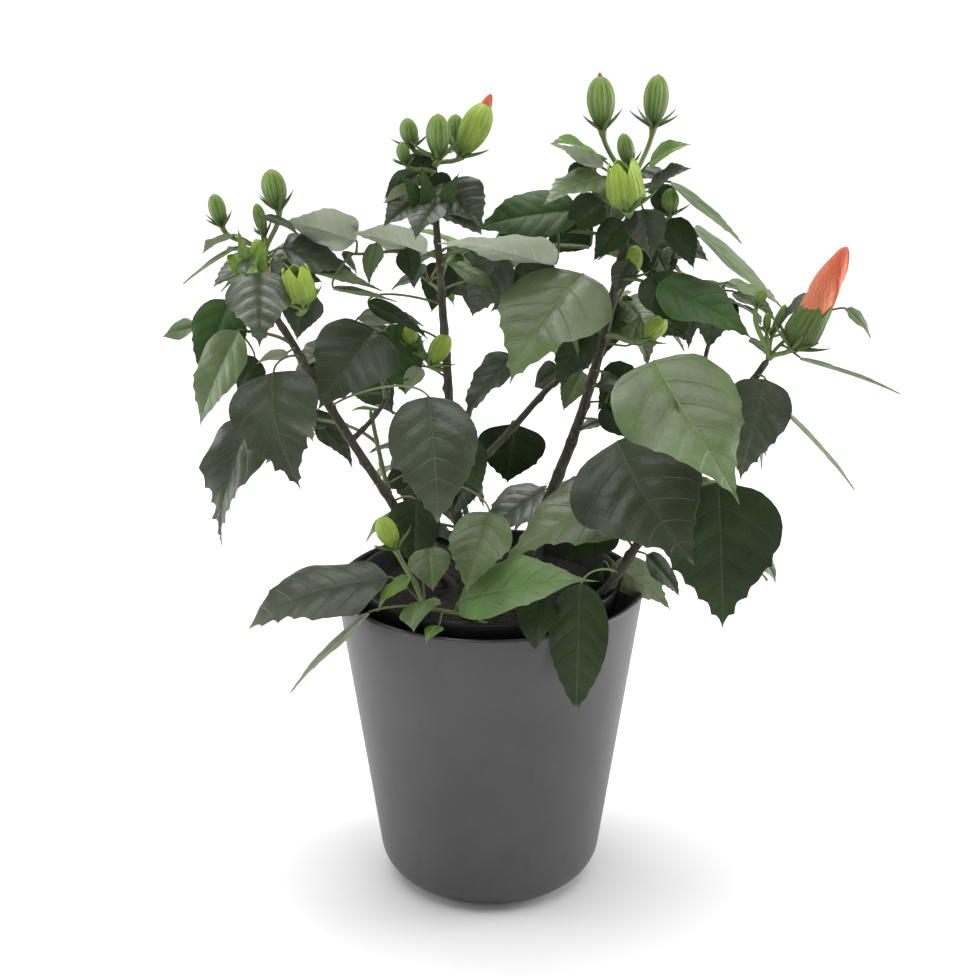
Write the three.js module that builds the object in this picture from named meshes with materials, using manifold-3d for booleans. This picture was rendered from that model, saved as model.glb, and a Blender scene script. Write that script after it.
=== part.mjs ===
// Potted hibiscus shrub: a cover pot with the black nursery pot standing in it, the soil, the tapering stems,
// and the masses of leaves and buds that they carry. Millimetres, +Z up. The origin is the middle of the
// cover pot's flat underside, +X is to the right of the shrub's front, and -Y is its front.
import * as THREE from 'three';
import { mergeVertices } from 'three/addons/utils/BufferGeometryUtils.js';
import Module from 'manifold-3d';

const wasm = await Module();
wasm.setup();

// ---- driving dimensions -------------------------------------------------------------------------------
const POT_HEIGHT = 185.5;
const POT_RIM_RADIUS = 90;
const POT_FOOT_RADIUS = 66.5;    // just above the rounded edge
const POT_FOOT_ROUND = 22;       // radius of that edge
const POT_WALL = 3;
const POT_SIDES = 32;
const POT_FOOT_STEPS = 4;

const NURSERY_HEIGHT = 190;      // its rim stands just above the cover pot's
const NURSERY_RIM_RADIUS = 77;
const NURSERY_FOOT_RADIUS = 43;
const NURSERY_WALL = 1.6;
const NURSERY_SIDES = 28;

const SOIL_TOP = 178;            // at the wall; the soil rises a little towards the stems
const SOIL_CROWN = 5;
const SOIL_SHOULDER = 0.6;       // share of the soil's radius at which it has risen
const SOIL_SHOULDER_RISE = 0.7;  // by this share of the crown

const GAP = 0.4;                 // clearance between neighbours that would touch
const LEAF_ROOM = 1.08;          // a mass of leaves keeps its neighbours out of this many times its own size
const STEM_SIDES = 8;
const RING_SPACING = 26;         // distance between the rings of a stem
const FLARE = 0.25;              // how much thicker a stem is at its very foot, as a share of its radius
const FLARE_LENGTH = 12;
const SMALL_MASS = 21.5;         // a mass of less than this mean half size starts from a ball of fewer faces
const UNEVEN = 0.13;             // how far a mass's surface swells and sinks, as a share of its size
const TIP_SPREAD = 0.34;         // radians of a mass's surface that are drawn out with a tip
const SKIN_SLIDE = 0.7;          // and that slide along with it

// ---- materials ----------------------------------------------------------------------------------------
const material = (color, roughness) => new THREE.MeshStandardMaterial({ color, roughness, metalness: 0 });
const POT_GREY = material(0x5c5a5b, 0.6);
const NURSERY_BLACK = material(0x141415, 0.5);
const SOIL_BROWN = material(0x1c1713, 1.0);
const BARK = material(0x4a3c30, 0.85);
const GREEN_STEM = material(0x56602f, 0.7);
const LEAF = material(0x46563a, 0.55);
const BUD = material(0x8aa14a, 0.5);

// ---- small helpers ------------------------------------------------------------------------------------
const vec = (p) => new THREE.Vector3(...p);

/** Points of an arc from angle a to angle b in degrees, ends included. */
function arc(x, y, radius, a, b, steps) {
	const points = [];
	for (let i = 0; i <= steps; i++) {
		const t = THREE.MathUtils.degToRad(a + (b - a) * i / steps);
		points.push(new THREE.Vector2(x + radius * Math.cos(t), y + radius * Math.sin(t)));
	}
	return points;
}

/** A surface of revolution about Z: its profile is drawn as (radius, height). */
function turned(profile, sides) {
	return new THREE.LatheGeometry(profile, sides).rotateX(Math.PI / 2);
}

/** The same geometry with one vertex for each place, which is what a solid needs. */
function welded(geometry) {
	const bare = geometry.clone();
	bare.deleteAttribute('normal');
	bare.deleteAttribute('uv');
	return mergeVertices(bare, 1e-4);
}

function toSolid(geometry) {
	const mesh = welded(geometry);
	return new wasm.Manifold(new wasm.Mesh({
		numProp: 3,
		vertProperties: Float32Array.from(mesh.attributes.position.array),
		triVerts: Uint32Array.from(mesh.index.array),
	}));
}

function toGeometry(solid) {
	const mesh = solid.getMesh();
	const geometry = new THREE.BufferGeometry();
	geometry.setAttribute('position', new THREE.BufferAttribute(mesh.vertProperties, 3));
	geometry.setIndex(new THREE.BufferAttribute(mesh.triVerts, 1));
	geometry.computeVertexNormals();
	return geometry;
}

/** The largest of the bodies that a cut leaves. */
function largest(solid) {
	const bodies = solid.decompose();
	bodies.sort((a, b) => b.volume() - a.volume());
	return bodies[0];
}

function apart(a, b) {
	const p = a.boundingBox();
	const q = b.boundingBox();
	return [0, 1, 2].some((i) => p.min[i] > q.max[i] || q.min[i] > p.max[i]);
}

/** A body with room cut in it for each neighbour that it meets. */
function cutRound(body, neighbours) {
	let left = body;
	for (const other of neighbours) {
		if (!apart(left, other)) left = largest(left.subtract(other));
	}
	return left;
}

// ---- pot and soil -------------------------------------------------------------------------------------
const potWallSlope = (POT_RIM_RADIUS - POT_FOOT_RADIUS) / (POT_HEIGHT - POT_FOOT_ROUND);
const potWallAngle = THREE.MathUtils.radToDeg(Math.atan(potWallSlope));

/** Outer or inner line of the cover pot, from the axis up to the rim, moved in by an inset. */
function potLine(inset) {
	const middle = POT_FOOT_RADIUS - POT_FOOT_ROUND;
	const round = arc(middle, POT_FOOT_ROUND, POT_FOOT_ROUND - inset, -90, -potWallAngle, POT_FOOT_STEPS);
	return [
		new THREE.Vector2(0, inset),
		...round,
		new THREE.Vector2(POT_RIM_RADIUS - inset, POT_HEIGHT),
	];
}

function coverPotProfile() {
	return [...potLine(0), ...potLine(POT_WALL).reverse()];
}

/** The room that the cover pot takes up, hollow included, for what has to stay clear of it. */
function coverPotRoom() {
	return [...potLine(-GAP), new THREE.Vector2(0, POT_HEIGHT + GAP)];
}

const nurseryFloor = POT_WALL + GAP;
const nurserySlope = (NURSERY_RIM_RADIUS - NURSERY_FOOT_RADIUS) / (NURSERY_HEIGHT - nurseryFloor);
const nurseryRadius = (z) => NURSERY_FOOT_RADIUS + nurserySlope * (z - nurseryFloor);

function nurseryPotProfile() {
	const inner = nurseryFloor + NURSERY_WALL;
	return [
		[0, nurseryFloor], [NURSERY_FOOT_RADIUS, nurseryFloor], [NURSERY_RIM_RADIUS, NURSERY_HEIGHT],
		[NURSERY_RIM_RADIUS - NURSERY_WALL, NURSERY_HEIGHT],
		[nurseryRadius(inner) - NURSERY_WALL, inner], [0, inner],
	].map(([x, y]) => new THREE.Vector2(x, y));
}

function nurseryPotRoom() {
	return [
		[0, nurseryFloor - GAP], [NURSERY_FOOT_RADIUS + GAP, nurseryFloor - GAP],
		[NURSERY_RIM_RADIUS + GAP, NURSERY_HEIGHT + GAP], [0, NURSERY_HEIGHT + GAP],
	].map(([x, y]) => new THREE.Vector2(x, y));
}

/** The soil, or with a swell the soil and a thin layer of air over it. */
function soilProfile(swell = 0) {
	const floor = nurseryFloor + NURSERY_WALL + GAP;
	const inside = (z) => nurseryRadius(z) - NURSERY_WALL - GAP;
	return [
		[0, floor], [inside(floor), floor], [inside(SOIL_TOP), SOIL_TOP + swell],
		[inside(SOIL_TOP) * SOIL_SHOULDER, SOIL_TOP + SOIL_CROWN * SOIL_SHOULDER_RISE + swell],
		[0, SOIL_TOP + SOIL_CROWN + swell],
	].map(([x, y]) => new THREE.Vector2(x, y));
}

// ---- stems --------------------------------------------------------------------------------------------
// Each stem: the places that it passes, from its foot to its tip, with its radius at the foot and at the tip.
const FOOT = SOIL_TOP - 2;           // a stem starts under the soil's top, which then cuts it off flat
const STEMS = {
	stem_left: { path: [[-20, 0, FOOT], [-50, -5, 225], [-90, -12, 295], [-120, -20, 355]],
		foot: 3.2, tip: 2.0, bark: BARK },
	stem_left_green: { path: [[-35, 15, FOOT], [-50, 15, 205], [-60, 20, 235], [-70, 28, 282]],
		foot: 1.9, tip: 1.3, bark: GREEN_STEM },
	stem_centre: { path: [[-10, 14, FOOT], [-20, 13, 225], [-24, 14, 300], [-30, 12, 398]],
		foot: 3.0, tip: 2.0, bark: BARK },
	stem_diagonal: { path: [[-18, 13, 242], [10, 25, 267], [32, 35, 290], [52, 46, 305]],
		foot: 2.3, tip: 1.6, bark: BARK },
	stem_right: { path: [[15, 4, FOOT], [35, 8, 235], [50, 12, 275], [64, 18, 323], [77, 20, 390]],
		foot: 3.6, tip: 2.2, bark: BARK },
	stem_low_right: { path: [[50, -28, FOOT], [66, -32, 193], [90, -34, 232], [150, -42, 330]],
		foot: 2.8, tip: 1.8, bark: BARK },
	stem_foot: { path: [[0, -48, FOOT], [-16, -64, 190], [-36, -66, 195]],
		foot: 1.6, tip: 1.2, bark: GREEN_STEM },
	stem_back_left: { path: [[-78, -10, 274], [-60, 30, 288], [-72, 82, 298]],
		foot: 1.6, tip: 1.1, bark: BARK },
	stem_back: { path: [[57, 16, 301], [66, 60, 314], [76, 108, 322]],
		foot: 1.8, tip: 1.3, bark: BARK },
	stem_back_right: { path: [[105, -36, 257], [120, 20, 280], [130, 74, 300], [138, 92, 322]],
		foot: 1.8, tip: 1.2, bark: BARK },
	stem_back_low: { path: [[-6, 36, FOOT], [-20, 76, 216], [-38, 100, 228]],
		foot: 2.2, tip: 1.6, bark: BARK },
	stem_back_foot: { path: [[30, 40, FOOT], [32, 58, 197], [38, 104, 204]],
		foot: 1.8, tip: 1.3, bark: BARK },
};

/** One tapering limb: a cylinder bent along a smooth curve, with a slight flare at its foot. */
function limb({ path, foot, tip }, swell = 0) {
	const curve = new THREE.CatmullRomCurve3(path.map(vec));
	const length = curve.getLength();
	const rings = Math.max(3, Math.round(length / RING_SPACING));
	const frames = curve.computeFrenetFrames(rings);
	const geometry = new THREE.CylinderGeometry(1, 1, rings, STEM_SIDES, rings);
	const place = geometry.attributes.position;
	for (let i = 0; i < place.count; i++) {
		const ring = Math.round(place.getY(i) + rings / 2);
		const along = ring / rings;
		const flare = 1 + FLARE * Math.max(0, 1 - along * length / FLARE_LENGTH);
		const radius = THREE.MathUtils.lerp(foot, tip, along) * flare + swell;
		const at = curve.getPointAt(along);
		// the cylinder's z and x take the places of the curve's two side directions, so it stays right side out
		at.addScaledVector(frames.normals[ring], place.getZ(i) * radius);
		at.addScaledVector(frames.binormals[ring], place.getX(i) * radius);
		if (swell > 0 && ring === 0) at.addScaledVector(frames.tangents[0], -swell);
		if (swell > 0 && ring === rings) at.addScaledVector(frames.tangents[rings], swell);
		place.setXYZ(i, at.x, at.y, at.z);
	}
	return geometry;
}

// ---- masses of leaves and buds ------------------------------------------------------------------------
// Each mass: its middle, its half sizes, and the furthest tips that it reaches.
const MASSES = {
	leaves_left_top: { at: [-122, -36, 376], half: [27, 28, 25],
		tips: [[-170, -20, 370], [-150, -5, 415], [-115, -5, 430], [-110, -80, 340]] },
	leaves_left_side: { at: [-153, -18, 328], half: [22, 23, 29], tips: [[-187, 20, 325], [-160, -20, 285]] },
	leaves_left_low: { at: [-116, -54, 304], half: [25, 24, 32], tips: [[-95, -85, 265]] },
	leaves_left_lowest: { at: [-145, -30, 262], half: [16, 14, 24], tips: [[-150, -40, 220]] },
	leaves_left_inner: { at: [-76, 4, 320], half: [26, 26, 26], tips: [[-100, -25, 305], [-50, 25, 288]] },
	leaves_left_behind: { at: [-78, 4, 378], half: [34, 13, 14], tips: [[-110, 0, 405], [-35, 5, 385]] },
	leaves_centre_top: { at: [-32, -8, 418], half: [26, 25, 27],
		tips: [[4, 13, 466], [-50, 10, 455], [-28, 8, 456]] },
	leaves_centre_under: { at: [-28, 30, 360], half: [25, 26, 21], tips: [[-68, -5, 360], [-12, 25, 335]] },
	leaves_centre_right: { at: [22, 10, 388], half: [36, 26, 18], tips: [] },
	leaves_centre_big: { at: [29, -26, 348], half: [27, 25, 29], tips: [[8, -60, 320], [-10, -25, 300]] },
	leaves_centre_front: { at: [-30, -88, 289], half: [23, 16, 33], tips: [[-25, -105, 255]] },
	leaves_centre_inner: { at: [-26, -2, 224], half: [20, 20, 22], tips: [] },
	leaves_round_behind: { at: [14, 72, 241], half: [18, 12, 20], tips: [] },
	leaves_diagonal_tip: { at: [47, 50, 297], half: [18, 20, 18], tips: [] },
	leaves_green_tip: { at: [-68, 36, 289], half: [13, 13, 9], tips: [] },
	leaves_right_top: { at: [78, 0, 410], half: [28, 26, 28],
		tips: [[32, -20, 444], [116, -5, 368], [110, -12, 440]] },
	buds_right_left: { at: [60, 6, 460], half: [8, 9, 15], tips: [[59, 6, 476]] },
	buds_right_right: { at: [90, 22, 458], half: [10, 9, 16], tips: [[91, 25, 475]] },
	leaves_right_arm: { at: [126, 6, 388], half: [26, 12, 10], tips: [[162, 28, 346]] },
	leaves_right_upper: { at: [104, -22, 354], half: [29, 21, 16], tips: [[105, -55, 340], [138, -32, 342]] },
	leaves_right_tip: { at: [159, -44, 345], half: [16, 15, 20], tips: [[190, -46, 392], [213, -74, 318]] },
	leaves_right_side: { at: [145, -62, 302], half: [15, 15, 20], tips: [[197, -65, 262]] },
	leaves_right_big: { at: [97, -84, 309], half: [28, 26, 25], tips: [[124, -118, 272]] },
	leaves_right_inner: { at: [80, -10, 300], half: [20, 20, 22], tips: [[50, -8, 278]] },
	leaves_right_low: { at: [88, -62, 259], half: [26, 22, 21], tips: [[108, -94, 230]] },
	leaves_right_outer: { at: [129, -70, 233], half: [27, 14, 28], tips: [[126, -80, 188], [160, -58, 202]] },
	leaves_middle_low: { at: [47, -38, 233], half: [33, 15, 13], tips: [[5, -54, 210]] },
	leaves_foot_right: { at: [86, -18, 205], half: [18, 16, 13], tips: [[104, -32, 176]] },
	leaves_foot_front: { at: [6, -66, 212], half: [32, 18, 13], tips: [[58, -92, 222]] },
	leaves_foot_hanging: { at: [42, -92, 187], half: [19, 9, 26], tips: [[47, -97, 147]] },
	leaves_foot_left: { at: [-92, -48, 195], half: [30, 15, 9], tips: [[-135, -55, 175]] },
	leaves_foot_left_low: { at: [-84, -72, 178], half: [18, 9, 9], tips: [[-108, -88, 154]] },
	leaves_foot_shoot: { at: [-47, -56, 208], half: [16, 17, 16], tips: [[-64, -45, 243], [-40, -92, 188]] },
	leaves_back_left: { at: [-84, 106, 300], half: [33, 30, 33], tips: [] },
	leaves_back_left_low: { at: [-122, 72, 262], half: [25, 24, 28], tips: [] },
	leaves_back_left_high: { at: [-128, 52, 362], half: [19, 22, 18], tips: [] },
	leaves_back_centre: { at: [78, 126, 320], half: [30, 27, 30], tips: [] },
	leaves_back_centre_high: { at: [-20, 84, 362], half: [22, 24, 20], tips: [] },
	leaves_back_centre_low: { at: [-40, 114, 232], half: [27, 27, 28], tips: [] },
	leaves_back_top: { at: [96, 82, 364], half: [24, 24, 24], tips: [] },
	leaves_back_right: { at: [142, 104, 332], half: [25, 26, 18], tips: [] },
	leaves_back_right_mid: { at: [132, 84, 270], half: [32, 27, 28], tips: [] },
	leaves_back_right_low: { at: [112, 40, 220], half: [29, 26, 24], tips: [] },
	leaves_back_foot: { at: [40, 116, 202], half: [30, 20, 16], tips: [] },
	leaves_back_foot_left: { at: [-48, 70, 196], half: [20, 18, 12], tips: [] },
};

/** How far a mass's surface stands out of its ball in a direction: slow waves, its own for each mass. */
function unevenness(direction, seed) {
	const { x, y, z } = direction;
	const wave = Math.sin(3.1 * x + 2.3 * y + seed) + Math.sin(2.7 * y - 3.4 * z + 2.1 * seed)
		+ Math.sin(4.3 * z + 2.9 * x + 0.7 * seed);
	return UNEVEN * wave / 1.5;
}

/** A bell-shaped weight: 1 at an angle of nothing, and almost none past twice the spread. */
const bell = (angle, spread) => Math.exp(-((angle / spread) ** 2));

/** A closed uneven ball of leaves, drawn out to its furthest tips, or a roomier one to keep others off. */
function mass({ at, half, tips }, seed, roomier = 1) {
	const detail = (half[0] + half[1] + half[2]) / 3 < SMALL_MASS ? 1 : 2;
	const geometry = welded(new THREE.IcosahedronGeometry(1, detail));
	const place = geometry.attributes.position;
	const corner = (i) => new THREE.Vector3().fromBufferAttribute(place, i);
	const headings = Array.from({ length: place.count }, (_, i) => corner(i));
	const reaches = headings.map((heading) => 1 + unevenness(heading, seed));
	const drawnOut = new Set();
	for (const tip of tips) {
		const wanted = vec(tip).sub(vec(at)).divide(vec(half));
		const heading = wanted.clone().normalize();
		let nearest = -1;
		headings.forEach((other, i) => {
			const nearer = nearest < 0 || other.dot(heading) > headings[nearest].dot(heading);
			if (nearer && !drawnOut.has(i)) nearest = i;
		});
		drawnOut.add(nearest);
		// the ball's skin slides until one corner lies towards the tip, and that corner is then drawn out to it
		const start = headings[nearest].clone();
		const slide = heading.clone().sub(start);
		for (const other of headings) {
			other.addScaledVector(slide, bell(other.angleTo(start), SKIN_SLIDE)).normalize();
		}
		const pull = wanted.length() - reaches[nearest];
		headings.forEach((other, i) => {
			reaches[i] += pull * bell(other.angleTo(heading), TIP_SPREAD);
		});
	}
	headings.forEach((heading, i) => {
		const point = heading.multiply(vec(half)).multiplyScalar(reaches[i] * roomier).add(vec(at));
		place.setXYZ(i, ...point);
	});
	return geometry;
}

// ---- assembly -----------------------------------------------------------------------------------------
const shrub = new THREE.Group();

function add(name, geometry, finish) {
	const mesh = new THREE.Mesh(geometry, finish);
	mesh.name = name;
	shrub.add(mesh);
}

add('cover_pot', turned(coverPotProfile(), POT_SIDES), POT_GREY);
add('nursery_pot', turned(nurseryPotProfile(), NURSERY_SIDES), NURSERY_BLACK);
add('soil', turned(soilProfile(), NURSERY_SIDES), SOIL_BROWN);

const potRoom = [
	toSolid(turned(coverPotRoom(), POT_SIDES)),
	toSolid(turned(nurseryPotRoom(), NURSERY_SIDES)),
];
const stemRoom = [toSolid(turned(soilProfile(GAP), NURSERY_SIDES))];

for (const [name, stem] of Object.entries(STEMS)) {
	add(name, toGeometry(cutRound(toSolid(limb(stem)), stemRoom)), stem.bark);
	stemRoom.push(toSolid(limb(stem, GAP)));
}

const room = [...potRoom, ...stemRoom];

Object.entries(MASSES).forEach(([name, bulk], seed) => {
	const body = cutRound(toSolid(mass(bulk, seed)), room);
	add(name, toGeometry(body), name.startsWith('buds') ? BUD : LEAF);
	room.push(toSolid(mass(bulk, seed, LEAF_ROOM)));
});

export default shrub;
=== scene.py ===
"""A young hibiscus shrub in bud, in its cover pot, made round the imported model: toothed leaves, stalks,
barked stems and buds take the places of the plain masses and limbs. Shapes are in millimetres until a mesh
is written."""

import math

import bpy
import numpy as np
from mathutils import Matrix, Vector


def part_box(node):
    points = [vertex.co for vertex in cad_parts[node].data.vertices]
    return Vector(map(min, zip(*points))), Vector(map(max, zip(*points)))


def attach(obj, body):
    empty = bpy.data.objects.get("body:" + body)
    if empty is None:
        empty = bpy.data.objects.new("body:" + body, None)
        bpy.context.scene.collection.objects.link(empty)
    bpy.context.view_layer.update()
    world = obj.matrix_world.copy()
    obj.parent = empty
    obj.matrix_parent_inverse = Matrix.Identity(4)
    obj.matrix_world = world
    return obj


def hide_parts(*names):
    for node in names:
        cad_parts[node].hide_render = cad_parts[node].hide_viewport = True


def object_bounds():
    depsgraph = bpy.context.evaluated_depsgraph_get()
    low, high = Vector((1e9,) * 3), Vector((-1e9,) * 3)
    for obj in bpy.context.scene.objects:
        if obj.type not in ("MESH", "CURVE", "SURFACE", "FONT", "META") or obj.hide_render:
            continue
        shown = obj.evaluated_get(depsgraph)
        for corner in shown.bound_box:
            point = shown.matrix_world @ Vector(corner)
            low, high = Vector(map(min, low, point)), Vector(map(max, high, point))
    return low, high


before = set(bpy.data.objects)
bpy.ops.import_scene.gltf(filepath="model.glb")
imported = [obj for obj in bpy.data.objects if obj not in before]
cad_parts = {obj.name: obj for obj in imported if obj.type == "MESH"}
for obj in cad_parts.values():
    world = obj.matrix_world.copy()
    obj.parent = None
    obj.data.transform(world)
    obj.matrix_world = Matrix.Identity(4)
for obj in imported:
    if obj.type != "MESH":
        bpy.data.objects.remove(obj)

bl_info = {
    "name": "Potted hibiscus shrub",
    "version": (1, 0, 0),
    "blender": (4, 5, 0),
    "location": "3D View > Sidebar > Hibiscus",
    "description": "Makes the leaves, stalks, bark, buds and pot of a young hibiscus shrub",
    "category": "Add Mesh",
}

CAD_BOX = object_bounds()
BODY = "root"
MM = 0.001
TURN = 2 * math.pi
SPIRAL = math.radians(137.5)
UP = np.array((0.0, 0.0, 1.0))
FRONT = np.array((0.0, -0.95, 0.32))  # the open side of the shrub, where its best leaves face
SPAN_STEPS = 40  # points worked out along each span of a smooth curve before it is walked evenly


def corners(node):
    """The lowest and highest corner of a CAD node, in millimetres."""
    low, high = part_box(node)
    return np.array(low) / MM, np.array(high) / MM


def middle(node):
    """The middle of a CAD node's box, in millimetres."""
    low, high = corners(node)
    return (low + high) / 2


def in_box(node, share):
    """A place in a CAD node's box, given as shares of its half sizes from its middle."""
    low, high = corners(node)
    return (low + high) / 2 + (high - low) / 2 * share


# --- Curves and grids -----------------------------------------------------------------------------


def unit(vectors):
    """Each vector made one long."""
    return vectors / np.maximum(np.linalg.norm(vectors, axis=-1, keepdims=True), 1e-9)


def rise(low, high, value):
    """0 below low, 1 above high, and a smooth step (3t^2 - 2t^3) between them."""
    t = np.clip((value - low) / (high - low), 0, 1)
    return t * t * (3 - 2 * t)


def bell(value, width):
    """1 at nought, falling off both ways as exp(-(value / width)^2)."""
    return np.exp(-((value / width) ** 2))


def smooth(points, spacing):
    """A curve through the points: each span is the cubic whose end slopes are half the step between the
    points on either side. It is walked in even steps of about the spacing."""
    points = np.asarray(points, float)
    padded = np.vstack((2 * points[0] - points[1], points, 2 * points[-1] - points[-2]))
    spans = len(points) - 1
    at = np.linspace(0, spans, SPAN_STEPS * spans + 1)
    span = np.minimum(at.astype(int), spans - 1)
    t = (at - span)[:, None]
    a, b, c, d = (padded[span + k] for k in range(4))
    curve = b + 0.5 * ((c - a) * t + (2 * a - 5 * b + 4 * c - d) * t**2 + (3 * b - a - 3 * c + d) * t**3)
    run = lengths(curve)
    even = np.linspace(0, run[-1], max(4, int(run[-1] / spacing) + 1))
    return np.stack([np.interp(even, run, curve[:, k]) for k in range(3)], axis=1)


def bowed(start, start_way, end, end_way, steps):
    """A cubic from start to end that sets off along start_way and comes in along end_way (Bezier)."""
    t = np.linspace(0, 1, steps)[:, None]
    return (
        (1 - t) ** 3 * start
        + 3 * (1 - t) ** 2 * t * (start + start_way)
        + 3 * (1 - t) * t**2 * (end - end_way)
        + t**3 * end
    )


def lengths(path):
    """How far along a path each of its points lies."""
    return np.append(0, np.cumsum(np.linalg.norm(np.diff(path, axis=0), axis=1)))


def grid(rows, columns, closed=False, inward=False):
    """The four-cornered faces of a grid of points; a closed grid joins its last column to its first."""
    i = np.arange(rows - 1)[:, None] * columns
    j = np.arange(columns if closed else columns - 1)[None, :]
    k = (j + 1) % columns
    faces = np.stack((i + j, i + k, i + columns + k, i + columns + j), axis=-1).reshape(-1, 4)
    return faces[:, ::-1] if inward else faces


def fans(rows, sides, inward=False):
    """The triangles from the first and the last ring of a closed grid to the two poles that follow its
    points."""
    j = np.arange(sides)
    k = (j + 1) % sides
    last = (rows - 1) * sides
    first_fan = np.stack((k, j, np.full(sides, rows * sides)), axis=1)
    last_fan = np.stack((last + j, last + k, np.full(sides, rows * sides + 1)), axis=1)
    faces = np.vstack((first_fan, last_fan))
    return faces[:, (1, 0, 2)] if inward else faces


def caps(rows, sides):
    """The flat faces that close the first and the last ring of a closed grid."""
    ring = np.arange(sides)
    return np.stack((ring[::-1], (rows - 1) * sides + ring))


def turned(profile, sides):
    """A profile of (radius, height) points turned about the upright axis; its first and last point lie on
    it and become poles of one point each. Returns the points, the faces between the rings and the two
    fans."""
    angle = np.arange(sides) / sides * TURN
    around = np.stack((np.cos(angle), np.sin(angle)), axis=1)
    body = profile[1:-1]
    wide = body[:, None, :1] * around[None]
    level = np.repeat(body[:, None, 1:], sides, axis=1)
    rings = np.concatenate((wide, level), axis=2).reshape(-1, 3)
    poles = np.array(((0, 0, profile[0, 1]), (0, 0, profile[-1, 1])))
    return np.vstack((rings, poles)), grid(len(body), sides, closed=True), fans(len(body), sides)


def arc(centre, radius, start, end, steps):
    """Points (radius, height) of a round corner, from one angle to another in degrees."""
    angle = np.radians(np.linspace(start, end, steps))
    return np.stack((centre[0] + radius * np.cos(angle), centre[1] + radius * np.sin(angle)), axis=1)


# --- Meshes ---------------------------------------------------------------------------------------


class Sheaf:
    """Many like shapes gathered into one mesh, with a finish and two sets of surface coordinates for
    each."""

    def __init__(self):
        self.points = []
        self.faces = []
        self.finish = []
        self.pattern = []
        self.place = []
        self.count = 0

    def add(self, points):
        """Takes points in millimetres and returns the number of the first."""
        first = self.count
        self.points.append(points)
        self.count += len(points)
        return first

    def cover(self, first, faces, finish=0, pattern=None, place=None):
        """Lays faces over points that were added: pattern and place are surface coordinates for each
        point."""
        self.faces.append(faces + first)
        self.finish.append(np.broadcast_to(finish, len(faces)))
        blank = np.zeros((faces.max() + 1, 2))
        self.pattern.append((blank if pattern is None else pattern)[faces].reshape(-1, 2))
        self.place.append((blank if place is None else place)[faces].reshape(-1, 2))

    def tube(self, path, radius, sides, relief=None):
        """A tube along a path: each ring stands square to the path, its radius swelled by the relief
        (rings by sides), and both ends are closed flat. Its rings are turned from the direction that the
        path bends in least, so they don't twist."""
        tangent = unit(np.gradient(path, axis=0))
        least = np.linalg.svd(path - path.mean(0))[2][-1]
        across = unit(np.cross(tangent, least))
        other = np.cross(tangent, across)
        angle = np.arange(sides) / sides * TURN
        swell = np.broadcast_to(np.asarray(radius, float).reshape(-1, 1), (len(path), sides))
        if relief is not None:
            swell = swell * relief
        ring = np.cos(angle)[None, :, None] * across[:, None] + np.sin(angle)[None, :, None] * other[:, None]
        first = self.add((path[:, None] + swell[..., None] * ring).reshape(-1, 3))
        self.cover(first, grid(len(path), sides, closed=True))
        self.cover(first, caps(len(path), sides))

    def mesh(self, name, finishes, slot, nodes=(), crease=None):
        """Writes the mesh in metres, hangs its finishes on it, hangs it from the root body and hides the CAD
        nodes that it takes the place of, if any. Edges sharper than the crease angle, in degrees, shade as
        edges."""
        data = bpy.data.meshes.new(name)
        points = np.concatenate(self.points) * MM
        sizes = np.concatenate([np.full(len(f), f.shape[1]) for f in self.faces])
        loops = np.concatenate([f.ravel() for f in self.faces])
        data.vertices.add(len(points))
        data.vertices.foreach_set("co", points.ravel().astype(np.float32))
        data.loops.add(len(loops))
        data.loops.foreach_set("vertex_index", loops.astype(np.int32))
        data.polygons.add(len(sizes))
        data.polygons.foreach_set("loop_start", np.append(0, np.cumsum(sizes)[:-1]).astype(np.int32))
        data.polygons.foreach_set("material_index", np.concatenate(self.finish).astype(np.int32))
        data.polygons.foreach_set("use_smooth", np.ones(len(sizes), bool))
        for layer, values in (("Blade", self.pattern), ("OFBake", self.place)):
            values = np.concatenate(values)
            if values.any():
                data.uv_layers.new(name=layer).data.foreach_set("uv", values.ravel().astype(np.float32))
        data.update(calc_edges=True)
        if crease is not None:
            data.set_sharp_from_angle(angle=math.radians(crease))
        piece = bpy.data.objects.new(name, data)
        bpy.context.scene.collection.objects.link(piece)
        for finish in finishes:
            data.materials.append(finish)
        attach(piece, BODY)
        if nodes:
            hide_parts(*nodes)


# --- Finishes -------------------------------------------------------------------------------------


class Value:
    """One output of a finish's nodes that takes part in sums: each operator adds its Math node."""

    def __init__(self, finish, socket):
        self.finish = finish
        self.socket = socket

    def sum(self, operation, *terms):
        """One Math node over the terms."""
        return self.finish.node("ShaderNodeMath", {"operation": operation}, dict(enumerate(terms)))

    def __add__(self, other):
        return self.sum("ADD", self, other)

    def __sub__(self, other):
        return self.sum("SUBTRACT", self, other)

    def __rsub__(self, other):
        return self.sum("SUBTRACT", other, self)

    def __mul__(self, other):
        return self.sum("MULTIPLY", self, other)

    def __truediv__(self, other):
        return self.sum("DIVIDE", self, other)

    def __rtruediv__(self, other):
        return self.sum("DIVIDE", other, self)

    __radd__ = __add__
    __rmul__ = __mul__

    def size(self):
        """The value without its sign."""
        return self.sum("ABSOLUTE", self)

    def step(self, low, high):
        """0 below low and 1 above high, smooth between them; low may be the greater, which turns it
        round."""
        values = {"Value": self, "From Min": low, "From Max": high, "To Min": 0.0, "To Max": 1.0}
        return self.finish.node("ShaderNodeMapRange", {"interpolation_type": "SMOOTHSTEP"}, values)


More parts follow.
